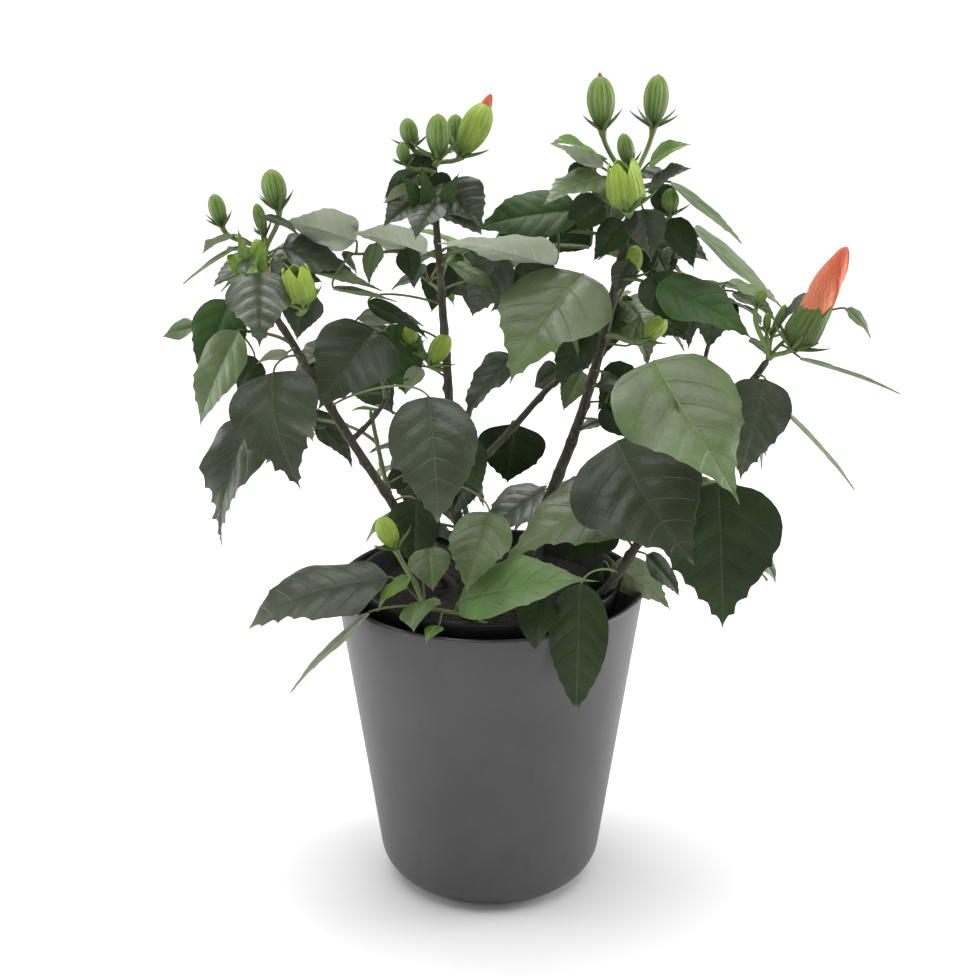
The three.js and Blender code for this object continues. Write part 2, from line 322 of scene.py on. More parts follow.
class Nodes:
    """The nodes of a material or of the surround, made one by one and joined."""

    def __init__(self, tree):
        self.tree = tree

    def join(self, socket, value):
        """Gives a socket a number, a colour or a link."""
        if isinstance(value, Value):
            self.tree.links.new(value.socket, socket)
        elif socket.type == "RGBA" and len(value) == 3:
            socket.default_value = (*value, 1.0)
        else:
            socket.default_value = value

    def node(self, kind, settings=None, values=None, output=0):
        """Any node: its type, its settings first, then the values or links of its sockets by name or
        number."""
        node = self.tree.nodes.new(kind)
        for setting, value in (settings or {}).items():
            setattr(node, setting, value)
        for socket, value in (values or {}).items():
            self.join(node.inputs[socket], value)
        return Value(self, node.outputs[output])


class Finish(Nodes):
    """A material with one Principled shader, built up by calls: fixed numbers sit on the shader's
    sockets."""

    def __init__(self, name, **fixed):
        self.material = bpy.data.materials.new(name)
        self.material.use_nodes = True
        super().__init__(self.material.node_tree)
        self.shader = self.tree.nodes["Principled BSDF"]
        for socket, value in fixed.items():
            self.set(socket.replace("_", " ").title().replace("Ior", "IOR"), value)

    def set(self, socket, value):
        """Gives a socket of the shader a number, a colour or a link."""
        self.join(self.shader.inputs[socket], value)

    def coordinates(self, **stretch):
        """Object coordinates in metres, stretched along x, y or z."""
        found = self.node("ShaderNodeTexCoord", output="Object")
        scale = [stretch.get(axis, 1.0) for axis in "xyz"]
        return self.node("ShaderNodeVectorMath", {"operation": "MULTIPLY"}, {0: found, 1: scale})

    def noise(self, scale, detail=2.0, roughness=0.5, **stretch):
        """Soft blotches from 0 to 1, about 1 / scale metres across."""
        values = {
            "Vector": self.coordinates(**stretch), "Scale": scale, "Detail": detail, "Roughness": roughness,
        }
        return self.node("ShaderNodeTexNoise", {}, values)

    def cells(self, scale, feature="DISTANCE_TO_EDGE", **stretch):
        """How far a point is from the edge, or middle, of its cell in a net of cells."""
        values = {"Vector": self.coordinates(**stretch), "Scale": scale}
        return self.node("ShaderNodeTexVoronoi", {"feature": feature}, values)

    def blade(self):
        """The coordinates that lie on a leaf, sepal or petal itself: across it, and along it from foot to
        tip."""
        found = self.node("ShaderNodeUVMap", {"uv_map": "Blade"})
        split = self.node("ShaderNodeSeparateXYZ", {}, {0: found})
        along = Value(self, split.socket.node.outputs["Y"])
        return split, along

    def blend(self, amount, first, second):
        """A colour that goes from the first to the second with the amount."""
        return self.node("ShaderNodeMix", {"data_type": "RGBA"}, {0: amount, 6: first, 7: second}, output=2)

    def bump(self, height, depth):
        """Relief that is depth metres deep for a height of 1."""
        values = {"Height": height, "Distance": depth, "Strength": 1.0}
        self.set("Normal", self.node("ShaderNodeBump", {}, values))


def tint(colour, factor):
    """A colour made lighter or darker."""
    return tuple(min(1.0, channel * factor) for channel in colour)


def cover_pot_finish(settings):
    """Matte grey with faint darker and paler clouds, rubbed marks and a fine grain."""
    finish = Finish("cover pot grey", specular_ior_level=0.5)
    clouds = finish.noise(14, 4, 0.6)
    marks = finish.noise(55, 3, 0.6, z=0.35).step(0.56, 0.72)
    colour = finish.blend(clouds.step(0.3, 0.7), tint(settings.cover, 0.86), tint(settings.cover, 1.12))
    finish.set("Base Color", finish.blend(marks * 0.35, colour, tint(settings.cover, 0.7)))
    finish.set("Roughness", 0.4 + clouds * 0.1)
    finish.bump(finish.noise(900, 2) + clouds * 2, 0.00012)
    return finish.material


def nursery_pot_finish(settings):
    """Thin black plastic, satin, with a faint moulded grain."""
    finish = Finish("nursery pot black", specular_ior_level=0.4)
    grain = finish.noise(400, 2)
    finish.set("Base Color", finish.blend(grain, tint(settings.nursery, 0.8), tint(settings.nursery, 1.4)))
    finish.set("Roughness", 0.42 + grain * 0.16)
    finish.bump(grain, 0.0002)
    return finish.material


def soil_finish(settings):
    """Dark damp crumbs, darker in the low gaps between them as painted shade, with a few pale bits of bark in
    them.
    """
    finish = Finish("potting soil", specular_ior_level=0.3)
    crumbs = finish.cells(260, "F1")
    bits = finish.noise(180, 2).step(0.62, 0.7)
    # Painted shade: the colour darkens away from each crumb's middle, into the low gaps that the relief makes.
    colour = finish.blend(crumbs, tint(settings.soil, 1.6), tint(settings.soil, 0.5))
    finish.set("Base Color", finish.blend(bits * 0.5, colour, tint(settings.soil, 5.0)))
    finish.set("Roughness", 0.8 + crumbs * 0.15)
    finish.bump(1 - crumbs, 0.0012)
    return finish.material


def bark_finish(settings):
    """Brown young bark: lengthwise streaks, paler worn ridges and small pale pores."""
    finish = Finish("brown bark", specular_ior_level=0.35)
    streaks = finish.noise(700, 3, 0.6, z=0.12)
    clouds = finish.noise(60, 3)
    pores = finish.cells(330, "F1", z=0.5).step(0.22, 0.1)
    colour = finish.blend(streaks.step(0.35, 0.7), tint(settings.bark, 0.55), tint(settings.bark, 1.5))
    colour = finish.blend(clouds.step(0.52, 0.7) * 0.5, colour, settings.bark_worn)
    finish.set("Base Color", finish.blend(pores * 0.6, colour, settings.bark_pore))
    finish.set("Roughness", 0.62 + streaks * 0.2)
    finish.bump(streaks + pores * 0.8, 0.0004)
    return finish.material


def green_stem_finish(settings, name, colour, flushed):
    """Smooth green stalk with a brownish flush in places and fine lengthwise lines."""
    finish = Finish(name, specular_ior_level=0.45)
    flush = finish.noise(45, 3).step(0.42, 0.68)
    lines = finish.noise(900, 2, 0.5, z=0.1)
    green = finish.blend(lines, tint(colour, 0.8), tint(colour, 1.2))
    finish.set("Base Color", finish.blend(flush * flushed, green, settings.stalk_flush))
    finish.set("Roughness", 0.42 + lines * 0.12)
    finish.bump(lines, 0.0001)
    return finish.material


def side_veins(along, out, fine):
    """Lines along the side veins, thinner outwards, and one pair that springs from the very foot of the
    blade."""
    phase = along * VEINS
    near = phase.sum("PINGPONG", phase, 0.5)
    lines = near.step(fine, fine * 0.25) * along.step(0.02, 0.08)
    foot_pair = (along - BASE_VEIN).size() / (0.0042 - out * 0.003)
    return (lines + foot_pair.step(1.0, 0.4)) * out.step(1.0, 0.7)


def leaf_upper_finish(settings, name, colour, vein, gloss, shine):
    """The upper face of a leaf: blotches of two greens with paler specks, thin paler side veins that run
    to the teeth, a faint net between them, a paler strip beside the midrib and a yellower tip."""
    finish = Finish(name, specular_ior_level=gloss)
    across, along = finish.blade()
    out = across.size()
    blotches = finish.noise(30, 3, 0.5)
    veins = side_veins(along, out, 0.055)
    net = finish.cells(330).step(0.1, 0.0)
    green = finish.blend(blotches.step(0.3, 0.7), tint(colour, 0.72), tint(colour, 1.26))
    green = finish.blend(finish.noise(190, 4, 0.65).step(0.52, 0.75) * 0.3, green, tint(colour, 1.9))
    green = finish.blend(out.step(0.5, 0.0) * 0.25, green, tint(colour, 1.5))
    green = finish.blend(net * 0.08, green, vein)
    green = finish.blend(veins * 0.34, green, vein)
    yellow = along.step(0.93, 1.0) * 0.6 + out.step(0.95, 1.0) * along.step(0.3, 0.6) * 0.25
    finish.set("Base Color", finish.blend(yellow, green, settings.tip))
    finish.set("Roughness", shine + blotches * 0.16 + veins * 0.06)
    finish.bump(blotches * 2.2 + finish.noise(140, 2) - net * 0.06 - veins * 0.7, 0.0005)
    return finish.material


def leaf_under_finish(name, colour):
    """The underside of a leaf: pale, matt, with the side veins and their net standing out."""
    finish = Finish(name, specular_ior_level=0.3)
    across, along = finish.blade()
    blotches = finish.noise(38, 3, 0.55)
    veins = side_veins(along, across.size(), 0.07)
    net = finish.cells(330).step(0.1, 0.0)
    green = finish.blend(blotches.step(0.3, 0.7), tint(colour, 0.88), tint(colour, 1.12))
    green = finish.blend(net * 0.15, green, tint(colour, 0.78))
    finish.set("Base Color", finish.blend(veins * 0.5, green, tint(colour, 1.35)))
    finish.set("Roughness", 0.52 + blotches * 0.1)
    finish.bump(veins + net * 0.3, 0.0003)
    return finish.material


def plain_green_finish(name, colour, roughness):
    """The midrib of a leaf, and the narrow bracts of a bud: one green with a soft variation along it."""
    finish = Finish(name, specular_ior_level=0.4)
    cloud = finish.noise(70, 2)
    finish.set("Base Color", finish.blend(cloud, tint(colour, 0.75), tint(colour, 1.25)))
    finish.set("Roughness", roughness + cloud * 0.1)
    return finish.material


def calyx_finish(name, colour, foot_colour, ribbed=0.7):
    """A cup of green sepals: each has a pale midrib and a pale rib on either side, dark streaks between
    them and a dark seam to its neighbour; the cup is darker towards its foot and yellower towards its
    tip."""
    finish = Finish(name, specular_ior_level=0.4)
    across, along = finish.blade()
    streaks = finish.noise(420, 3, 0.6, z=0.22)
    place = across + (streaks - 0.5) * 0.3
    ribs = place.step(0.16, 0.02) + (place - 0.5).size().step(0.15, 0.02) * 0.9
    green = finish.blend(streaks.step(0.3, 0.7), tint(colour, 0.9 - 0.55 * ribbed), tint(colour, 1.0))
    green = finish.blend(along.step(0.55, 1.0) * 0.55, green, tint(colour, 1.6))
    green = finish.blend(ribs * ribbed, green, tint(colour, 1.75))
    green = finish.blend(place.step(0.84, 0.97) * 0.7, green, foot_colour)
    finish.set("Base Color", finish.blend(along.step(0.6, 0.05) * 0.8, green, foot_colour))
    finish.set("Roughness", 0.42 + streaks * 0.14)
    finish.bump(ribs + streaks * 0.6, 0.0004)
    return finish.material


def petal_finish(settings):
    """Rolled petals: salmon orange with fine pale lengthwise veins, redder towards the tip and in soft clouds."""
    finish = Finish("petal orange", specular_ior_level=0.35, sheen_weight=0.2)
    across, along = finish.blade()
    cloud = finish.noise(120, 2)
    wander = (across + cloud * 0.8) * 26.0
    lines = wander.sum("SINE", wander).step(-0.2, 1.0)
    colour = finish.blend(along.step(0.35, 1.0), settings.petal, settings.petal_tip)
    colour = finish.blend(cloud * 0.3, colour, tint(settings.petal_tip, 0.8))
    finish.set("Base Color", finish.blend(lines * 0.16, colour, settings.petal_vein))
    finish.set("Roughness", 0.5 + cloud * 0.1)
    finish.bump(lines, 0.0002)
    return finish.material


# --- Cover pot, nursery pot and soil --------------------------------------------------------------

POT_SIDES = 192
FOOT_ROUND = 22.0  # the round between the pot's wall and its flat underside
POT_WALL = 3.0
LIP_DROP = 1.4  # how far below the top the sloping wall gives way to the rolled lip
NURSERY_ROWS = 34
NURSERY_WALL = 1.6
NURSERY_LIP = 1.1
MOULD_DEPTH = 0.25  # the fine steps moulded round the nursery pot, wherever a sine up its wall is high
MOULD_PACE = 0.55  # how fast that sine runs, in radians a millimetre
SOIL_RINGS = 46
SOIL_SIDES = 120
SOIL_DIP = 1.2  # how far the soil's middle lies below the top of its box, which leaves room for crumbs
SOIL_FALL = 5.0  # how much lower the mound is where it meets the pot
SOIL_TAPER = 0.94  # the soil's taper as a share of the nursery pot's
CRUMB_WAVES = 26


def pot_profile(height, rim, foot):
    """Half of a cut through the cover pot, from the middle of its underside round the lip to the middle
    of its floor: a flat underside, a round, a straight sloping wall, a rolled lip, and the same again
    inside."""
    slope = (rim - foot) / (height - FOOT_ROUND)
    lean = math.degrees(math.atan(slope))
    corner = (foot - FOOT_ROUND, FOOT_ROUND)
    under = np.stack((np.linspace(0, corner[0], 8)[:-1], np.zeros(7)), axis=1)
    outside = arc(corner, FOOT_ROUND, -90, -lean, 16)
    wall_top = np.array((rim - slope * LIP_DROP, height - LIP_DROP))
    walk = np.linspace(0, 1, 24)[1:-1, None]
    wall_out = outside[-1] + walk * (wall_top - outside[-1])
    rolled = arc((wall_top[0] - POT_WALL / 2, height - POT_WALL / 2), POT_WALL / 2, 0, 180, 11)
    inside_top = rolled[-1] - (0, 0.6)
    inside = arc(corner, FOOT_ROUND - POT_WALL, -lean, -90, 12)
    wall_in = inside_top + walk * (inside[0] - inside_top)
    flat = np.stack((np.linspace(corner[0], 0, 6)[1:], np.full(5, POT_WALL)), axis=1)
    return np.vstack((under, outside, wall_out, rolled, wall_in, inside, flat))


def mesh_turned(piece, node, profile, sides, finish, crease):
    """A profile turned about the middle of a CAD node, up from the node's underside, to take the node's
    place."""
    points, faces, ends = turned(profile, sides)
    centre = middle(node)
    sheaf = Sheaf()
    first = sheaf.add(points + (centre[0], centre[1], corners(node)[0][2]))
    sheaf.cover(first, faces)
    sheaf.cover(first, ends)
    sheaf.mesh(piece, [finish], node, [node], crease)


def make_cover_pot(settings):
    """The cover pot, turned from its profile."""
    low, high = corners("cover_pot")
    height = high[2] - low[2]
    rim = (high[0] - low[0]) / 2
    profile = pot_profile(height, rim, rim - settings.taper / MM)
    mesh_turned("cover_pot_turned", "cover_pot", profile, POT_SIDES, cover_pot_finish(settings), 50)


def make_nursery_pot(settings):
    """The thin black pot inside, with a rolled lip and fine rings moulded round its wall."""
    low, high = corners("nursery_pot")
    rim = (high[0] - low[0]) / 2
    height = high[2] - low[2]
    foot = rim - settings.nursery_taper / MM
    slope = (rim - foot) / height
    drop = np.linspace(0, 1, NURSERY_ROWS)
    outer = np.stack((rim - slope * height * drop, height * (1 - drop)), axis=1)[1:]
    outer[:, 0] -= MOULD_DEPTH * (np.sin(outer[:, 1] * MOULD_PACE) > 0.7)
    rolled = arc((rim - NURSERY_LIP, height - NURSERY_LIP), NURSERY_LIP, 0, 180, 9)
    floor = NURSERY_WALL * 2
    inner = outer - (NURSERY_WALL, 0)
    inner = inner[inner[:, 1] > floor]
    inside = np.array(((inner[-1, 0], floor), (0, floor)))
    profile = np.vstack(((0, 0), outer[::-1], rolled, inner, inside))
    finish = nursery_pot_finish(settings)
    mesh_turned("nursery_pot_moulded", "nursery_pot", profile, POT_SIDES // 2, finish, 40)


def make_soil(settings, seed):
    """The soil: a low mound whose top is a sum of small random waves, over a plain tapered plug."""
    low, high = corners("soil")
    rng = np.random.default_rng(seed)
    radius = (high[0] - low[0]) / 2
    foot = radius - settings.nursery_taper / MM * SOIL_TAPER
    share = np.linspace(0, 1, SOIL_RINGS)[1:, None]
    angle = np.arange(SOIL_SIDES) / SOIL_SIDES * TURN
    x = radius * share * np.cos(angle)
    y = radius * share * np.sin(angle)
    waves = rng.normal(size=(CRUMB_WAVES, 2)) * np.geomspace(0.06, 0.9, CRUMB_WAVES)[:, None]
    shift = rng.uniform(0, TURN, CRUMB_WAVES)
    size = 1.3 / np.geomspace(1.0, 3.5, CRUMB_WAVES)
    crumb = sum(s * np.sin(w[0] * x + w[1] * y + p) for w, p, s in zip(waves, shift, size)) / 4
    mound = high[2] - SOIL_DIP - SOIL_FALL * share**2
    top = mound + np.clip(crumb, -1.6, 1.1) * (1 - share**12)
    crown = np.stack((x, y, np.minimum(top, high[2])), axis=-1).reshape(-1, 3)
    base = crown[-SOIL_SIDES:, 2].min() - 1
    part = np.array((1.0, 0.98, 0.5, 0.02, 0.0))[:, None]
    reach = foot + (radius - foot) * part
    level = low[2] + (base - low[2]) * part + 0 * angle
    walls = np.stack((reach * np.cos(angle), reach * np.sin(angle), level), axis=-1).reshape(-1, 3)
    points = np.vstack((crown, walls, (0, 0, high[2] - SOIL_DIP), (0, 0, low[2])))
    points[:, :2] += middle("soil")[:2]
    rows = SOIL_RINGS - 1 + len(part)
    sheaf = Sheaf()
    first = sheaf.add(points)
    sheaf.cover(first, grid(rows, SOIL_SIDES, closed=True, inward=True))
    sheaf.cover(first, fans(rows, SOIL_SIDES, inward=True))
    sheaf.mesh("soil_crumbs", [soil_finish(settings)], "soil", ["soil"])


# --- Stems ----------------------------------------------------------------------------------------

BARKED = (
    "stem_left",
    "stem_centre",
    "stem_diagonal",
    "stem_right",
    "stem_low_right",
    "stem_back_left",
    "stem_back",
    "stem_back_right",
    "stem_back_low",
    "stem_back_foot",
)
GREEN = ("stem_left_green", "stem_foot")
# The limbs that a leading shoot carries on, and the mass whose buds the shoot runs up to.
SHOOTS = {
    "stem_left": "leaves_left_top",
    "stem_centre": "leaves_centre_top",
    "stem_right": "leaves_right_top",
}
SHOOT_TIP = 1.1
RING_GAP = 5.0  # rings of corners on a packed limb lie further apart than this
FOOT_DEPTH = 5.0  # how far a foot goes on into the soil, or into the limb that it springs from
STEM_STEP = 1.4
STEM_SIDES = 14
NODE_SPACING = 19.0
# The long low ridges of a stem's skin: how many run round it, how far they wind in radians a millimetre,
# and how high they stand as a share of the radius.
RIDGES = ((2, 0.05, 0.05), (3, 0.11, 0.04), (5, 0.31, 0.03), (1, 0.6, 0.025))
# Buds by mass: foot and tip of the calyx as shares of the mass's half sizes from its middle, the width in
# millimetres, and the kind.
BUDS = (
    ("leaves_left_top", (-0.4, 0.9, 0.2), (-0.5, 0.9, 0.6), 9.5, "shut"),
    ("leaves_left_top", (0.4, 0.9, 0.4), (0.3, 0.9, 0.9), 13.5, "shut"),
    ("leaves_left_top", (0.2, 0.8, 0.1), (0.1, 0.8, 0.5), 7.0, "shut"),
    ("leaves_left_top", (0.2, 0.6, -0.2), (0.1, 0.6, 0.1), 9.0, "lime"),
    ("leaves_left_top", (0.1, 0.6, -0.4), (-0.3, 0.6, -0.1), 9.5, "lime"),
    ("leaves_left_top", (0.8, -0.1, -0.6), (0.7, -0.1, -0.1), 19.0, "open"),
    ("leaves_centre_top", (-0.4, 0.8, 0.1), (-0.5, 0.8, 0.5), 10.0, "shut"),
    ("leaves_centre_top", (-0.5, 0.5, -0.1), (-0.6, 0.5, 0.2), 7.5, "shut"),
    ("leaves_centre_top", (0.1, 0.2, 0.0), (0.1, 0.2, 0.6), 13.0, "shut"),
    ("leaves_centre_top", (0.4, 1.5, 0.1), (0.4, 1.5, 0.5), 10.0, "shut"),
    ("leaves_centre_top", (0.5, 0.6, 0.0), (1.0, 0.8, 0.7), 16.5, "ripe"),
    ("buds_right_left", (0.1, 0.0, -1.0), (-0.1, 0.0, 0.9), 15.5, "tip"),
    ("buds_right_right", (0.0, 0.3, -0.8), (0.2, 0.3, 0.9), 14.0, "shut"),
    ("leaves_right_top", (0.1, 1.3, 0.4), (0.0, 1.3, 0.9), 9.5, "shut"),
    ("leaves_right_top", (0.0, -0.8, 0.0), (-0.1, -0.8, 0.7), 22.0, "open"),
    ("leaves_right_top", (0.6, 0.3, -0.2), (0.6, 0.3, 0.2), 10.0, "shut"),
    ("leaves_right_top", (-0.4, 0.8, 0.4), (-0.5, 0.8, 0.7), 9.0, "shut"),
    ("leaves_right_top", (0.1, 0.8, -1.2), (0.2, 0.8, -0.7), 11.0, "lime"),
    ("leaves_right_tip", (-0.5, 0.2, -0.5), (-0.1, 0.2, 0.2), 21.0, "flower"),
    ("leaves_right_tip", (-1.1, 0.2, 0.1), (-1.0, 0.2, 0.4), 6.5, "shut"),
    ("leaves_right_tip", (-0.8, 0.6, -0.4), (-0.6, 0.6, 0.1), 5.0, "shut"),
    ("leaves_right_tip", (-0.9, 0.4, -0.3), (-0.9, 0.4, 0.0), 4.5, "shut"),
    ("leaves_left_inner", (1.0, 1.0, 0.1), (1.0, 1.0, 0.6), 10.0, "lime"),
    ("leaves_centre_under", (0.0, -0.4, -2.0), (0.3, -0.4, -1.2), 12.0, "lime"),
    ("leaves_right_upper", (-0.7, 0.9, -1.4), (-0.3, 0.8, -0.6), 11.5, "lime"),
    ("leaves_foot_shoot", (-0.3, 0.8, 0.2), (-0.8, 0.8, 0.9), 12.0, "lime"),
)


def packed_rings(name):
    """The middle and the radius of each ring of corners on a packed limb, foot to tip. The corners are
    put in order along the limb's main direction and parted wherever that order has a wide gap."""
    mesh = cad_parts[name].data
    corner = np.empty(len(mesh.vertices) * 3)
    mesh.vertices.foreach_get("co", corner)
    corner = np.unique((corner.reshape(-1, 3) / MM).round(2), axis=0)
    spread = corner - corner.mean(axis=0)
    way = np.linalg.svd(spread, full_matrices=False)[2][0]
    along = spread @ (way * np.sign(way[2]))
    order = np.argsort(along)
    rings = np.split(corner[order], np.flatnonzero(np.diff(along[order]) > RING_GAP) + 1)
    middles = np.array([ring.mean(axis=0) for ring in rings])
    radii = np.array([np.linalg.norm(ring - ring.mean(axis=0), axis=1).max() for ring in rings])
    return middles, radii


def bud_feet(mass):
    """Where the buds of a mass start."""
    return np.array([in_box(mass, row[1]) for row in BUDS if row[0] == mass])


def limb_line(name):
    """A limb's line and its radius along it. The line runs smoothly through the middles of the packed
    limb's rings, from a foot set a little deeper. A leading shoot goes on to the middle of the feet of
    the buds above it."""
    middles, radii = packed_rings(name)
    foot = middles[0] + FOOT_DEPTH * unit(middles[0] - middles[1])
    points = np.vstack((foot, middles))
    known = lengths(points)[2:]
    thick = radii[1:]
    if name in SHOOTS:
        feet = bud_feet(SHOOTS[name])
        points = np.vstack((points, feet[feet[:, 2] > points[-1, 2]].mean(axis=0)))
        known = np.append(known, lengths(points)[-1])
        thick = np.append(thick, SHOOT_TIP)
    line = smooth(points, STEM_STEP)
    return line, np.interp(lengths(line), known, thick)


def stem_relief(run, rng):
    """How a stem's skin swells: long low ridges (sines round and along it), and at each node a collar
    and, on one side, the scar or stub of a leaf, a bell both ways. The nodes go round the stem by the
    leaf spiral. The foot flares and the tip closes to a quarter of its width."""
    angle = np.arange(STEM_SIDES) / STEM_SIDES * TURN
    relief = np.ones((len(run), STEM_SIDES))
    for around, winding, height in RIDGES:
        start = rng.uniform(0, TURN)
        relief += height * np.sin(around * angle[None] + winding * run[:, None] + start)
    node = rng.uniform(4, NODE_SPACING)
    turn = rng.uniform(0, TURN)
    while node < run[-1]:
        beside = np.exp((np.cos(angle - turn) - 1) / 0.3)[None]
        relief += 0.1 * bell(run - node, 2.4)[:, None]
        relief += rng.uniform(0.25, 0.6) * bell(run - node, 1.7)[:, None] * beside
        node += NODE_SPACING * rng.uniform(0.7, 1.25)
        turn += SPIRAL
    relief *= (1 + 0.35 * np.exp(-run / 7))[:, None]
    close = rise(0, 3.5, run[-1] - run)[:, None]
    return relief * (0.25 + 0.75 * close)


def make_stems(settings, seed):
    """Every limb as a tube with the relief of its skin, the woody ones and the green ones apart."""
    rng = np.random.default_rng(seed)
    green = green_stem_finish(settings, "green stem", settings.green, 0.35)
    for piece, limbs, finish, slot in (
        ("woody_stems", BARKED, bark_finish(settings), "bark"),
        ("green_stems", GREEN, green, "green_stem"),
    ):
        sheaf = Sheaf()
        for name in limbs:
            line, radius = limb_line(name)
            sheaf.tube(line, radius, STEM_SIDES, relief=stem_relief(lengths(line), rng))
        sheaf.mesh(piece, [finish], slot, list(limbs))


# --- Leaves ---------------------------------------------------------------------------------------

VEINS = 6  # side veins, and so teeth, along each half of a blade
BASE_VEIN = 0.028  # where the lowest pair of veins leaves the midrib, as a share of the blade
# What sets one leaf's shape apart: fold lifts both halves into a V, arch bows the midrib up and droop
# bends it more towards the tip, cup turns the margins down, wave makes them wander, quilt puffs up the
# skin between the veins, teeth is how far a tooth stands out, twist turns the tip, and sway bends the
# midrib sideways. Those are shares of the blade's length or width, but for the twist, in degrees. A
# greater taper draws out a finer tip.
PLAIN = {
    "tone": "old", "fold": 0.3, "arch": 0.06, "droop": 0.8, "cup": 0.14, "wave": 0.04, "quilt": 0.014,
    "teeth": 0.017, "twist": 12.0, "sway": 0.0, "taper": 1.5,
}
LOOKS = {
    "old": {},
    # Painted shade: this look, and the flat one further down, wear the darkest green tone, which stands in for
    # the shade inside the shrub and at its back.
    "deep": {"tone": "deep", "wave": 0.025},
    "mid": {"tone": "mid"},
    "glossy": {"tone": "mid", "quilt": 0.016, "cup": 0.18},
    "green": {"tone": "green", "fold": 0.25, "teeth": 0.012},
    "fresh": {"tone": "fresh", "teeth": 0.01},
    "broad": {"tone": "mid", "fold": 0.2, "cup": 0.16, "wave": 0.055, "sway": 0.04},
    "veined": {"fold": 0.28, "quilt": 0.02, "wave": 0.035, "sway": 0.05},
    "swayed": {"arch": 0.09, "wave": 0.045, "sway": 0.09, "teeth": 0.03, "taper": 1.6},
    "ragged": {"fold": 0.4, "wave": 0.07, "teeth": 0.035, "sway": 0.05, "taper": 1.8},
    # Partly painted light: this look wears the palest tone, a real pale underside made brighter still to stand
    # in for light it does not get.
    "pale": {"tone": "pale", "fold": 0.2, "arch": 0.05, "cup": 0.08},
    "flat": {
        "tone": "deep", "fold": 0.12, "arch": 0.03, "cup": 0.05, "wave": 0.02, "teeth": 0.007, "taper": 0.85,
    },
    "hanging": {"arch": 0.1, "cup": 0.2, "wave": 0.035, "taper": 1.3},
    "puckered": {"tone": "mid", "quilt": 0.022},
    "crumpled": {"fold": 0.55, "quilt": 0.04, "wave": 0.08, "twist": 30.0},
    "wet": {"quilt": 0.035, "wave": 0.05, "cup": 0.2, "fold": 0.35},
    "edge": {"tone": "mid", "arch": 0.02, "fold": 0.06, "cup": 0.02, "wave": 0.01, "twist": 4.0},
    "young": {"tone": "young", "fold": 0.35, "quilt": 0.015, "arch": 0.09, "teeth": 0.015},
    "lime": {"tone": "lime", "fold": 0.35, "quilt": 0.015, "arch": 0.1, "teeth": 0.015},
}
